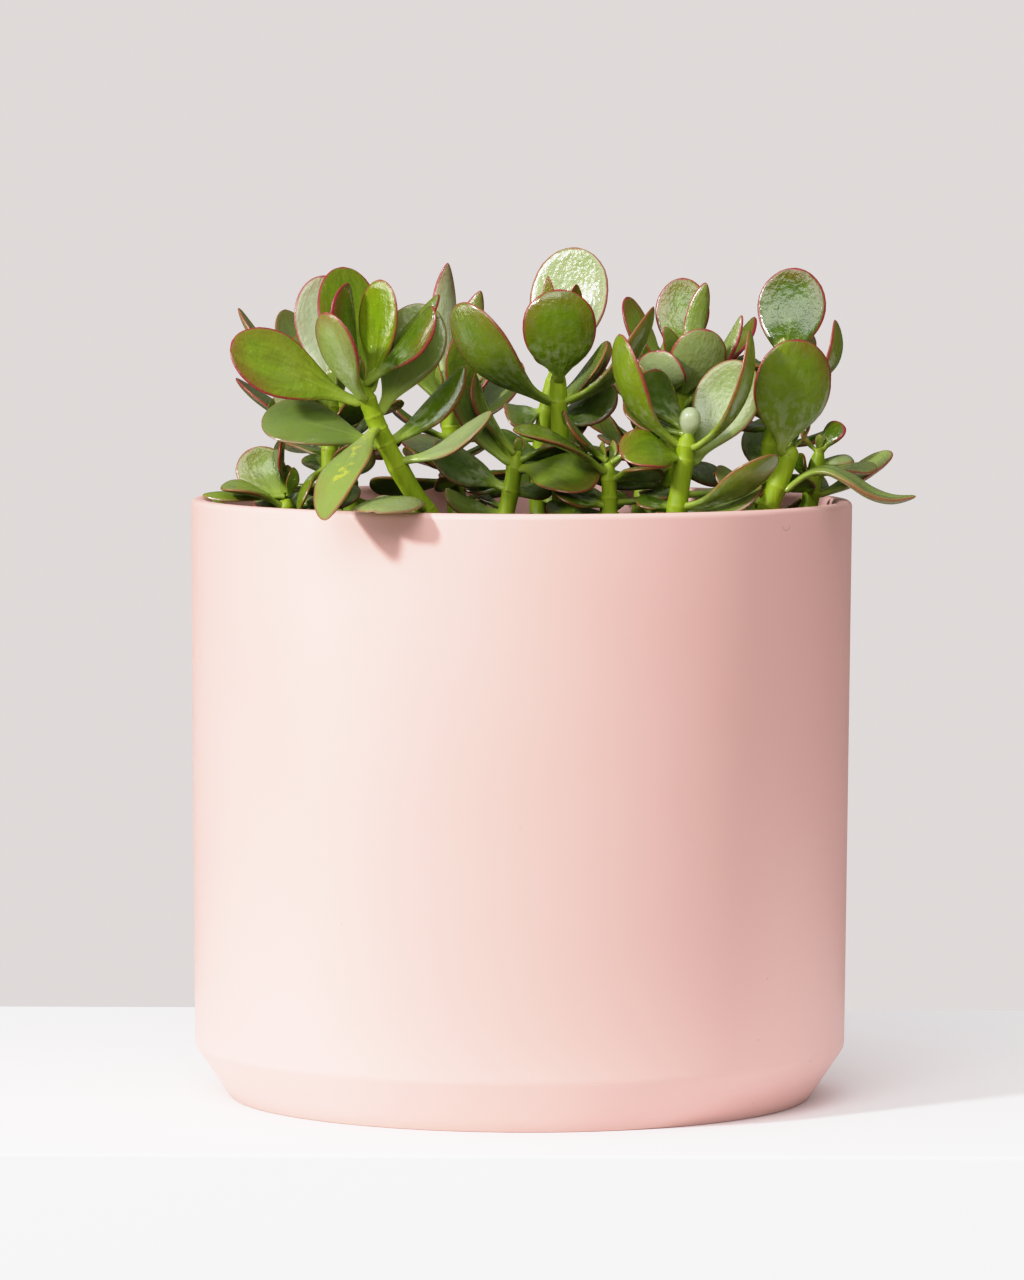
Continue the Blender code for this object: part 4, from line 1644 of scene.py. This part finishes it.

# How each packed leaf's skin looks: deep, bloom, blush, fleck. Deep also paints shade on leaves in
# shade, and bloom paints sheen on leaves that face the light.
LOOKS = {
    "left_front_1": Looks(0.08, 0.05, 1.0),
    "left_front_2": Looks(0.0, 0.3, 0.9),
    "left_front_3": Looks(0.1, 0.0, 0.6),
    "left_front_4": Looks(0.55, 0.0, 1.0),
    "left_front_5": Looks(0.0, 0.25, 0.5, 1.0),
    "left_front_6": Looks(0.0, 0.55, 0.4),
    "left_front_7": Looks(0.05, 0.35, 0.3),
    "left_front_8": Looks(0.6, 0.2, 0.2),
    "right_centre_1": Looks(0.2, 0.0, 0.8),
    "right_centre_2": Looks(0.2, 0.1, 0.5),
    "right_centre_3": Looks(0.0, 0.45, 0.5),
    "right_centre_4": Looks(0.45, 0.0, 0.7),
    "right_centre_5": Looks(0.4, 0.1, 0.3),
    "centre_1": Looks(0.55, 0.0, 0.9),
    "centre_2": Looks(0.5, 0.05, 0.5),
    "centre_3": Looks(0.4, 0.1, 0.4),
    "centre_back_1": Looks(0.05, 0.5, 0.7),
    "centre_back_2": Looks(0.2, 0.2, 0.5),
    "right_front_1": Looks(0.3, 0.05, 0.9),
    "right_front_2": Looks(0.2, 0.2, 0.4),
    "right_back_1": Looks(0.85, 0.0, 1.0),
    "right_back_2": Looks(0.3, 0.1, 0.7),
    "right_edge_1": Looks(0.2, 0.3, 0.6),
    "right_edge_2": Looks(0.3, 0.2, 0.5),
    "left_back_1": Looks(0.0, 1.3, 0.9),
    "left_back_2": Looks(0.2, 0.3, 0.5),
    "left_edge_1": Looks(0.2, 0.2, 0.4),
    "left_edge_2": Looks(0.0, 0.2, 0.5),
    "mid_left_1": Looks(0.3, 0.1, 0.5),
    "mid_left_2": Looks(0.2, 0.3, 0.5),
    "centre_low_1": Looks(0.5, 0.1, 0.3),
    "back_right_1": Looks(0.25, 0.0, 0.9),
    "back_right_2": Looks(0.0, 0.5, 0.9),
    "back_right_3": Looks(0.2, 0.2, 0.9),
}


@dataclass
class JadePlant:
    """The stems and leaves."""

    under_soil: float = 8.0 * MM
    joint_spacing: float = 15.0 * MM
    hidden_spacing: float = 8.5 * MM
    swings: tuple[float, ...] = (0, 6, -6, 12, -12)
    lifts: tuple[float, ...] = (0, 5, -5, 10, -10)
    low_top: float = 0.257
    low_top_behind: float = 0.276
    low_rounds: int = 6
    behind: float = 8.0 * MM
    crowded_tips: tuple[str, ...] = ("centre_low", "mid_left", "right_edge")
    crowded_share: float = 0.75
    bud_stem: str = "right_centre"
    bud_length: float = 12.5 * MM
    bud_width: float = 8.8 * MM
    bud_depth: float = 3.5 * MM
    crossing_cost: float = 0.2
    hidden_enough: float = 0.94
    shrinks: tuple[float, ...] = (1.0, 0.85, 0.7, 0.58)
    hidden_swings: tuple[float, ...] = (0.0, 0.25, -0.25, 0.5, -0.5)
    hidden_lifts: tuple[float, ...] = (0.0, 0.25, -0.25)
    low_tries: int = 14
    low_swing: float = 2.4
    may_cover: float = 0.14
    leaf_skin: LeafSkin = LeafSkin()
    stem_skin: StemSkin = StemSkin()
    dice: random.Random = field(default_factory=lambda: random.Random(41))

    def build(
        self, nodes: dict[str, bpy.types.Object], soil_height: float,
        room: tuple[Vector, Vector], eye: Vector,
    ) -> None:
        """Grow the whole plant.

        Args:
            nodes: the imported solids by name.
            soil_height: the height of the soil's edge.
            room: the lowest and highest corner that new leaves stay in.
            eye: the point in front that hidden leaves are hidden from.
        """
        self.thicket = Thicket(room, eye)
        self.thicket.add_solid(nodes["pot"])
        self.thicket.add_solid(nodes["soil"])
        self.paths = {
            name[5:]: StemPath.of_solid(name[5:], node, soil_height - self.under_soil)
            for name, node in nodes.items() if name.startswith("stem_")
        }
        blades = self._packed_blades(nodes)
        young = self._sprigs()
        for path in self.paths.values():
            young[path.name] += self._tip_pair(path)
        for path in self.paths.values():
            young[path.name] += self._low_leaves(path)
        for path in self.paths.values():
            young[path.name] += self._hidden_pairs(path)
        mould = LeafMould(self.leaf_skin)
        for name, blade in blades.items():
            piece = mould.cast(blade, f"jade_{name}")
            hand_over(piece, "leaf_green", name)
        for stem, grown in young.items():
            if grown:
                parts = [mould.cast(blade, "young_leaf") for blade in grown]
                hand_over(Bench.join(parts, f"young_leaves_{stem}"), "leaf_green")
        mould.clear()
        self._stems()

    def _packed_blades(self, nodes: dict[str, bpy.types.Object]) -> dict[str, Blade]:
        """Return a blade for each packed leaf, by the solid's name.

        Args:
            nodes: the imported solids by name.

        Returns:
            The blades.
        """
        blades = {}
        for name, node in sorted(nodes.items()):
            if not name.startswith("leaf_"):
                continue
            path = self.paths[name[5:].rpartition("_")[0]]
            spine, width = solid_spine(node, path.foot_of)
            path.joints.append(path.nearest(spine.middle[0]))
            looks = LOOKS.get(name[5:])
            if looks is None:
                looks = self._chance_looks((0.1, 0.6), (0.0, 0.4), (0.3, 0.9))
            blades[name] = Blade(spine, width, looks, self.dice.uniform(0.0, math.tau))
            self.thicket.add_blade(blades[name])
        return blades

    def _chance_looks(self, *ranges: tuple[float, float]) -> Looks:
        """Return looks drawn from ranges for deep, bloom and blush, in that order."""
        return Looks(*(self.dice.uniform(low, high) for low, high in ranges))

    @staticmethod
    def _foot(path: StemPath, at: float, reach: np.ndarray) -> np.ndarray:
        """Return the point inside a stem that a leaf with this reach starts from.

        Args:
            path: the stem.
            at: the share along it.
            reach: the leaf's reach.

        Returns:
            The point.
        """
        middle, way, radius = path.at(at)
        outward = reach - way * (reach @ way)
        return middle + unit(outward) * FOOT_DEPTH * radius

    def _place(self, path: StemPath, sprig: Sprig) -> Blade:
        """Return a sprig's leaf, turned aside as little as keeps it clear.

        Args:
            path: the stem.
            sprig: the listed leaf.

        Returns:
            The leaf.
        """
        middle, way, _ = path.at(sprig.at)
        wanted = np.array(sprig.reach) * MM
        looks = Looks(sprig.deep, sprig.bloom, sprig.blush, sprig.fleck)
        phase = self.dice.uniform(0.0, math.tau)
        best, least = None, math.inf
        width = sprig.width * MM
        for swing in self.swings:
            for lift in self.lifts:
                cost = (abs(swing) + abs(lift)) / 10.0
                if cost >= least:
                    continue
                reach = self._aside(wanted, way, swing, lift)
                foot = self._foot(path, sprig.at, reach)
                spine = grown_spine(foot, middle + reach - foot, width, sprig.turn, sprig.curl * MM)
                blade = Blade(spine, width, looks, phase)
                score = cost + self.crossing_cost * self.thicket.crossings(blade)
                if score < least:
                    best, least = blade, score
        return best

    @staticmethod
    def _aside(reach: np.ndarray, way: np.ndarray, swing: float, lift: float) -> np.ndarray:
        """Return a reach swung about the stem and lifted towards its tip, in degrees.

        Args:
            reach: the reach.
            way: the stem's direction.
            swing: degrees about +Z.
            lift: degrees towards the tip.

        Returns:
            The moved reach.
        """
        moved = Matrix.Rotation(math.radians(swing), 3, Vector((0, 0, 1))) @ Vector(reach)
        level = moved.cross(Vector(way))
        return np.array(Matrix.Rotation(math.radians(lift), 3, level) @ moved)

    def _sprigs(self) -> dict[str, list[Blade]]:
        """Return the listed small leaves by stem.

        Returns:
            The leaves, by their stem's name.
        """
        grown: dict[str, list[Blade]] = {name: [] for name in self.paths}
        for sprig in SPRIGS:
            path = self.paths[sprig.stem]
            blade = self._place(path, sprig)
            crossings = self.thicket.crossings(blade)
            LOG.info("sprig on %s at %.2f: %d crossings", sprig.stem, sprig.at, crossings)
            self.thicket.add_blade(blade)
            path.joints.append(sprig.at)
            grown[sprig.stem].append(blade)
        return grown

    def _tip_pair(self, path: StemPath) -> list[Blade]:
        """Return the two unopened leaves at a stem's tip.

        Args:
            path: the stem.

        Returns:
            Two leaves, or one bud.
        """
        middle, way, radius = path.at(1.0)
        around = self.dice.uniform(0.0, math.pi)
        if path.name == self.bud_stem:
            foot = middle - way * self.bud_depth
            spine = grown_spine(foot, way * self.bud_length, self.bud_width, 0.0, 0.0)
            looks = Looks(0.0, 1.7, 0.0)
            belly = self.bud_width / 2
            return [
                Blade(spine, self.bud_width, looks, around, belly=belly, plump=0.5, thickness=EGG)
            ]
        side = unit(np.cross(way, [math.cos(around), math.sin(around), 0.0]))
        length = self.dice.uniform(8.0, 12.0) * MM
        if path.name in self.crowded_tips:
            length *= self.crowded_share
        pair = []
        for turn in (1.0, -1.0):
            reach = way * length + side * turn * 0.20 * length
            foot = middle + side * turn * 0.25 * radius - way * 1.0 * MM
            width = min(6.0 * MM, 0.52 * length)
            spine = grown_spine(foot, reach, width, 0.0, 0.8 * MM)
            pair.append(Blade(spine, width, Looks(0.0, 0.15, 0.5), around))
        return pair

    def _hidden_pairs(self, path: StemPath) -> list[Blade]:
        """Return more opposite pairs, where the front leaves hide them.

        Args:
            path: the stem.

        Returns:
            The leaves that found room.
        """
        grown = []
        around = self.dice.uniform(0.0, math.tau)
        count = max(3, round(path.length / self.hidden_spacing))
        for step in range(1, count + 1):
            at = min(0.30 + 0.68 * step / count, 0.97)
            around += math.pi / 2 + self.dice.uniform(-0.2, 0.2)
            for side in (0.0, math.pi):
                blade = self._hidden_leaf(path, at, around + side)
                if blade is not None:
                    self.thicket.add_blade(blade)
                    path.joints.append(at)
                    grown.append(blade)
        return grown

    def _hidden_leaf(self, path: StemPath, at: float, around: float) -> Blade | None:
        """Return a hidden leaf that keeps clear of all others, or nothing.

        Args:
            path: the stem.
            at: the share along it.
            around: its angle about +Z.

        Returns:
            The leaf, or None.
        """
        length = self.dice.uniform(27.0, 41.0) * MM
        looks = self._chance_looks((0.1, 0.85), (0.0, 0.45), (0.2, 0.9))
        phase = self.dice.uniform(0.0, math.tau)
        rise = math.radians(self.dice.uniform(12.0, 50.0) * (0.4 + 0.8 * at))
        turn = self.dice.uniform(-16.0, 16.0)
        tries = itertools.product(self.shrinks, self.hidden_swings, self.hidden_lifts)
        for shrink, swing, lift in tries:
            reach = heading(around + swing, rise + lift)
            reach *= length * shrink
            width = 0.54 * length * shrink
            foot = self._foot(path, at, reach)
            spine = grown_spine(foot, reach, width, turn, 3.0 * MM * shrink)
            blade = Blade(spine, width, looks, phase)
            if not self.thicket.fits(blade) or self.thicket.crossings(blade):
                continue
            if self.thicket.hidden(blade) > self.hidden_enough:
                return blade
        return None

    def _low_leaves(self, path: StemPath) -> list[Blade]:
        """Return leaves low on a stem, beside and behind the listed ones, darkened with painted
        shade.

        Args:
            path: the stem.

        Returns:
            The leaves that found room.
        """
        grown = []
        top = self.low_top if path.line[0][1] < self.behind else self.low_top_behind
        for _ in range(self.low_rounds):
            at = self.dice.uniform(0.22, 0.80)
            around = self.dice.uniform(0.0, math.tau)
            length = self.dice.uniform(22.0, 40.0) * MM
            rise = math.radians(self.dice.uniform(-8.0, 38.0))
            # deep from 0.45 to 1: painted shade for these low leaves under the others
            looks = self._chance_looks((0.45, 1.0), (0.0, 0.25), (0.0, 0.4))
            phase, turn = self.dice.uniform(0.0, math.tau), self.dice.uniform(-40.0, 40.0)
            for step in range(self.low_tries):
                size = length * (1.0 - 0.03 * step)
                reach = heading(around + step * self.low_swing, rise) * size
                foot = self._foot(path, at, reach)
                width = 0.46 * size
                spine = grown_spine(foot, reach, width, turn, 2.0 * MM)
                blade = Blade(spine, width, looks, phase)
                if blade.points(self.thicket.coarse)[:, 2].max() > top:
                    continue
                if not self.thicket.fits(blade) or self.thicket.crossings(blade):
                    continue
                if self.thicket.covering(blade) <= self.may_cover:
                    self.thicket.add_blade(blade)
                    path.joints.append(at)
                    grown.append(blade)
                    break
        return grown

    def _stems(self) -> None:
        """Build the stems, jointed where their leaves grow."""
        mould = StemMould(self.stem_skin)
        for path in self.paths.values():
            path.settle_joints(self.joint_spacing)
            hand_over(mould.cast(path), "stem_green", f"stem_{path.name}")
        mould.clear()


# ---- planter and soil ------------------------------------------------------------------
@dataclass
class Planter:
    """The turned ceramic planter with its drain plug."""

    steps: int = 192
    finish: PinkGlaze = PinkGlaze()
    rubber: PlugRubber = PlugRubber()

    def build(self, nodes: dict[str, bpy.types.Object]) -> None:
        """Turn the planter from the solid's outline, and dress the plug.

        Args:
            nodes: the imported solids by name.
        """
        shell = Bench.copy(nodes["pot"], "pink_planter")
        shell.data.materials.clear()
        Bench.edit(shell)
        bpy.ops.mesh.select_all(action="SELECT")
        bpy.ops.mesh.remove_doubles(threshold=WELD)
        bpy.ops.mesh.bisect(
            plane_co=(0.0, 0.0, 0.0), plane_no=(0.0, 1.0, 0.0), clear_inner=True, clear_outer=True
        )
        Bench.pick(shell, "VERT", lambda vertex: vertex.co.x < 0.0)
        bpy.ops.mesh.delete(type="VERT")
        bpy.ops.mesh.select_all(action="SELECT")
        bpy.ops.mesh.spin(
            steps=self.steps, angle=math.tau, center=(0.0, 0.0, 0.0), axis=(0.0, 0.0, 1.0)
        )
        Bench.close(shell, WELD)
        shell.data.materials.append(self.finish.make())
        Bench.smooth(shell, 35.0)
        hand_over(shell, "pot_glaze", "pot")
        nodes["drain_plug"].material_slots[0].material = self.rubber.make()


@dataclass
class Compost:
    """The crumbled top of the soil, with bark chips and perlite."""

    sides: int = 250
    rings: int = 56
    dome: float = 3.0 * MM
    coarse_crumb: float = 3.4 * MM
    fine_crumb: float = 1.6 * MM
    chips: int = 150
    grains: int = 120
    clear: float = 7.0 * MM
    spread_in: float = 6.0 * MM
    lie: float = 0.5 * MM
    still_edge: float = 1.0 * MM
    level: float = 1e-5
    mix: PottingMix = PottingMix()
    bark: BarkChip = BarkChip()
    perlite: Perlite = Perlite()
    dice: random.Random = field(default_factory=lambda: random.Random(7))

    def build(self, paths: Sequence[StemPath]) -> None:
        """Build the soil and scatter what lies on it.

        Args:
            paths: the stems, which the scattered bits keep clear of.
        """
        low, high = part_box("soil")
        self.edge = high.z - self.dome
        self.radius = high.x
        soil = self._bed(low.z)
        hand_over(soil, "potting_soil", "soil")
        faces = [tuple(face.vertices) for face in soil.data.polygons]
        self.surface = BVHTree.FromPolygons(points_of(soil).tolist(), faces)
        feet = [path.line[0][:2] for path in paths]
        self._scatter("bark_chips", self._chip_moulds(), self.chips, feet, self.bark.make())
        perlite = self.perlite.make()
        self._scatter("perlite_grains", self._grain_moulds(), self.grains, feet, perlite)

    def _bed(self, base: float) -> bpy.types.Object:
        """Return the body of soil, crumbled on top.

        Args:
            base: the height of the soil's foot.

        Returns:
            The soil.
        """
        rings = [
            (base, 0.9, 0.9), (base + 4.0 * MM, 0.918, 0.918), (base + 12.0 * MM, 0.968, 0.968),
            (0.5 * self.edge, 0.985, 0.985), (self.edge, 1.0, 1.0),
        ]
        rings = [(height, wide * self.radius, deep * self.radius) for height, wide, deep in rings]
        soil = Bench.loft("potting_soil", self.sides, rings)
        level = self.edge - self.level
        Bench.pick(
            soil, "FACE", lambda face: face.center.z > level and len(face.vertices) == self.sides
        )
        width = self.radius / (self.rings + 0.5)
        for ring in range(self.rings):
            share = 1.0 - (ring + 0.5) / self.rings
            bpy.ops.mesh.inset(thickness=width, depth=2.0 * self.dome * share / self.rings)
        bpy.ops.object.mode_set(mode="OBJECT")
        top = soil.vertex_groups.new(name="top")
        for vertex in soil.data.vertices:
            flat = math.hypot(vertex.co.x, vertex.co.y)
            if vertex.co.z > level and flat < self.radius - self.still_edge:
                top.add([vertex.index], 1.0, "REPLACE")
        for size, strength in ((9.0 * MM, self.coarse_crumb), (2.6 * MM, self.fine_crumb)):
            texture = bpy.data.textures.new("crumbs", "CLOUDS")
            texture.noise_scale = size
            texture.noise_depth = 2
            Bench.modify(
                soil, "DISPLACE", texture=texture, texture_coords="LOCAL", strength=strength,
                mid_level=0.55, vertex_group="top", direction="Z",
            )
        soil.data.materials.append(self.mix.make())
        Bench.smooth(soil, 70.0)
        return soil

    def _chip_moulds(self) -> list[bpy.types.Object]:
        """Return three bark chips, modelled at their sizes.

        Returns:
            The chips.
        """
        moulds = []
        for size, seed in (((11, 6, 2.4), 3), ((8, 5, 2.0), 5), ((6, 4.4, 2.8), 8)):
            Bench.deselect()
            bpy.ops.mesh.primitive_cube_add(size=1.0)
            chip = Bench.name("chip_mould")
            chip.scale = [MM * part for part in size]
            Bench.settle()
            Bench.edit(chip)
            bpy.ops.mesh.select_all(action="SELECT")
            bpy.ops.mesh.subdivide(number_cuts=1, smoothness=0.35)
            bpy.ops.transform.vertex_random(offset=0.9 * MM, uniform=0.4, normal=0.2, seed=seed)
            Bench.close(chip)
            moulds.append(chip)
        return moulds

    def _grain_moulds(self) -> list[bpy.types.Object]:
        """Return two puffed grains, modelled at their sizes.

        Returns:
            The grains.
        """
        moulds = []
        for radius, seed in ((1.9, 2), (1.3, 4)):
            Bench.deselect()
            bpy.ops.mesh.primitive_uv_sphere_add(segments=8, ring_count=6, radius=radius * MM)
            grain = Bench.name("grain_mould")
            Bench.edit(grain)
            bpy.ops.mesh.select_all(action="SELECT")
            bpy.ops.transform.vertex_random(offset=0.45 * MM, uniform=0.6, normal=0.3, seed=seed)
            Bench.close(grain)
            moulds.append(grain)
        return moulds

    def _scatter(
        self, name: str, moulds: list[bpy.types.Object], count: int,
        feet: list[np.ndarray], finish: bpy.types.Material,
    ) -> None:
        """Strew copies of some moulds over the soil and join them.

        Args:
            name: of the joined piece.
            moulds: the shapes to copy.
            count: how many copies.
            feet: where the stems stand.
            finish: the material.
        """
        parts = []
        while len(parts) < count:
            distance = (self.radius - self.spread_in) * math.sqrt(self.dice.random())
            around = self.dice.uniform(0.0, math.tau)
            x, y = distance * math.cos(around), distance * math.sin(around)
            turn = Matrix.Rotation(self.dice.uniform(0.0, math.tau), 4, "Z")
            tilt = Matrix.Rotation(self.dice.uniform(-0.5, 0.5), 4, "X")
            size = self.dice.uniform(0.7, 1.3)
            if min(math.hypot(x - foot[0], y - foot[1]) for foot in feet) < self.clear:
                continue
            ground = self.surface.ray_cast(Vector((x, y, 1.0)), Vector((0.0, 0.0, -1.0)))[0]
            mould = moulds[len(parts) % len(moulds)]
            part = bpy.data.objects.new(name, mould.data.copy())
            bpy.context.collection.objects.link(part)
            lifted = Vector((x, y, ground.z + self.lie))
            part.matrix_world = Matrix.Translation(lifted) @ turn @ tilt @ Matrix.Scale(size, 4)
            parts.append(part)
        for mould in moulds:
            bpy.data.objects.remove(mould)
        bpy.context.view_layer.update()
        piece = Bench.join(parts, name)
        Bench.settle()
        piece.data.materials.append(finish)
        Bench.smooth(piece, 30.0)
        hand_over(piece, "potting_soil")


# ---- studio ----------------------------------------------------------------------------
@dataclass
class Studio:
    """The camera, the light and the plain stage."""

    eye: tuple[float, float, float] = (-0.0035, -2.6133, 0.3489)
    dip: float = 3.796
    roll: float = 0.0035
    half_view: float = 0.09409
    sensor: float = 36.0
    wall: Colour = (0.758, 0.712, 0.700)
    low_light: Colour = (0.412, 0.386, 0.372)
    high_light: Colour = (1.02, 1.01, 1.02)
    far_side: float = 0.36
    mirrored: float = 0.24
    window_left: float = 72.0
    window_height: float = 8.0
    window_edge: tuple[float, float] = (0.985, 0.996)
    window_power: float = 32.0
    sun_power: float = 2.80
    sun_size: float = 0.10
    sun_left: float = 50.0
    sun_height: float = 26.0
    box_left: float = 12.0
    box_height: float = 32.0
    box_distance: float = 1.9
    box_size: tuple[float, float] = (1.0, 0.8)
    box_power: float = 13.5
    box_aim: float = 0.25
    tone: tuple[tuple[float, float], ...] = (
        (0.0, 0.0), (0.012, 0.013), (0.03, 0.045), (0.06, 0.107), (0.11, 0.212), (0.30, 0.60),
        (0.40, 0.765), (0.50, 0.86), (0.65, 0.93), (0.80, 0.965), (1.0, 0.99),
    )
    stage_front: float = -0.170
    stage_back: float = 0.273
    stage_half_length: float = 1.3
    stage_depth: float = 0.60
    paint: StagePaint = StagePaint()

    def build(self) -> None:
        """Set up the whole studio."""
        self._camera()
        self._light()
        self._stage()
        self._tone()

    def _tone(self) -> None:
        """Roll the brightest tones off softly."""
        view = bpy.context.scene.view_settings
        view.view_transform = "Standard"
        view.use_curve_mapping = True
        mapping = view.curve_mapping
        mapping.white_level = (2.0, 2.0, 2.0)
        mapping.use_clip = False
        curve = mapping.curves[3]
        while len(curve.points) < len(self.tone):
            curve.points.new(0.5, 0.5)
        for point, place in zip(curve.points, self.tone):
            point.location = place
        mapping.update()

    def _camera(self) -> None:
        """Place the camera."""
        lens = bpy.data.cameras.new("camera")
        lens.sensor_fit = "VERTICAL"
        lens.sensor_width = lens.sensor_height = self.sensor
        lens.lens = self.sensor / 2 / self.half_view
        lens.clip_end = 20.0
        camera = bpy.data.objects.new("camera", lens)
        bpy.context.collection.objects.link(camera)
        tilt = Matrix.Rotation(math.radians(90.0 - self.dip), 4, "X")
        roll = Matrix.Rotation(self.roll, 4, "Z")
        camera.matrix_world = Matrix.Translation(self.eye) @ tilt @ roll
        bpy.context.scene.camera = camera

    @staticmethod
    def _towards(left: float, up: float) -> Vector:
        """Return the direction of a light.

        Args:
            left: degrees left of the front.
            up: degrees above the floor.

        Returns:
            The direction from the plant to the light.
        """
        left, up = math.radians(left), math.radians(up)
        level = math.cos(up)
        return Vector((-math.sin(left) * level, -math.cos(left) * level, math.sin(up)))

    def _light(self) -> None:
        """Light the stage softly all round, and more from the left."""
        self._room()
        sun = bpy.data.lights.new("window", "SUN")
        sun.energy = self.sun_power
        sun.angle = self.sun_size
        lamp = bpy.data.objects.new("window", sun)
        bpy.context.collection.objects.link(lamp)
        towards = self._towards(self.sun_left, self.sun_height)
        lamp.rotation_euler = towards.to_track_quat("Z", "Y").to_euler()
        box = bpy.data.lights.new("soft_box", "AREA")
        box.shape = "RECTANGLE"
        box.size, box.size_y = self.box_size
        box.energy = self.box_power
        lamp = bpy.data.objects.new("soft_box", box)
        bpy.context.collection.objects.link(lamp)
        towards = self._towards(self.box_left, self.box_height)
        lamp.rotation_euler = towards.to_track_quat("Z", "Y").to_euler()
        lamp.location = towards * self.box_distance + Vector((0.0, 0.0, self.box_aim))

    def _room(self) -> None:
        """Make a room that is bright overhead and dim on the right, with a plain wall behind."""
        world = bpy.data.worlds.new("soft_room")
        world.use_nodes = True
        g = Graph(world.node_tree)
        way = Wire(g, g.node("ShaderNodeTexCoord", {}, {}).outputs["Generated"])
        x, y, z = g.parts(way)
        rays = g.node("ShaderNodeLightPath", {}, {})
        glossy = Wire(g, rays.outputs["Is Glossy Ray"])
        stops = ((0.15, self.low_light), (0.75, self.high_light))
        sky = g.node("ShaderNodeValToRGB", {"stops": stops}, {0: z})
        towards = self._towards(self.window_left, self.window_height)
        facing = x * towards.x + y * towards.y + z * towards.z
        window = facing.step(*self.window_edge) * glossy * self.window_power
        power = (1.0 - self.far_side * x) * (1.0 - (1.0 - self.mirrored) * glossy) + window
        lit = g.node("ShaderNodeBackground", {}, {0: Wire(g, sky.outputs[0]), 1: power})
        wall = g.node("ShaderNodeBackground", {}, {0: self.wall, 1: 1.0})
        seen = Wire(g, rays.outputs["Is Camera Ray"])
        both = {0: seen, 1: Wire(g, lit.outputs[0]), 2: Wire(g, wall.outputs[0])}
        mixed = g.node("ShaderNodeMixShader", {}, both)
        g.feed(g.tree.nodes["World Output"].inputs[0], Wire(g, mixed.outputs[0]))
        bpy.context.scene.world = world

    def _stage(self) -> None:
        """Build the slab that the plant stands on."""
        Bench.deselect()
        bpy.ops.mesh.primitive_cube_add(size=1.0)
        slab = Bench.name("stage_slab")
        across = self.stage_back - self.stage_front
        slab.scale = (2 * self.stage_half_length, across, self.stage_depth)
        slab.location = (0.0, (self.stage_back + self.stage_front) / 2, -self.stage_depth / 2)
        Bench.settle()
        Bench.modify(slab, "BEVEL", width=1.5 * MM, segments=3)
        slab.data.materials.append(self.paint.make())
        Bench.smooth(slab, 30.0)
        slab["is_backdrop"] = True


SIDE_ROOM = 3.0 * MM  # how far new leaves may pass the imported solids' box at its sides
TOP_ROOM = -4.0 * MM  # and at its top, where they stay below it


def main() -> None:
    """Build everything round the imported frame."""
    logging.basicConfig(level=logging.INFO, format="%(message)s")
    for thing in list(bpy.data.objects):
        bpy.data.objects.remove(thing)
    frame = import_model()
    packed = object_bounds()
    nodes = frame["nodes"]
    studio = Studio()
    Planter().build(nodes)
    low_room = packed[0] - Vector((SIDE_ROOM, SIDE_ROOM, 0.0))
    room = (low_room, packed[1] + Vector((SIDE_ROOM, SIDE_ROOM, TOP_ROOM)))
    soil_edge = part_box("soil")[1].z - Compost.dome
    plant = JadePlant()
    plant.build(nodes, soil_edge, room, Vector(studio.eye))
    Compost().build(list(plant.paths.values()))
    studio.build()


if __name__ == "__main__":
    main()
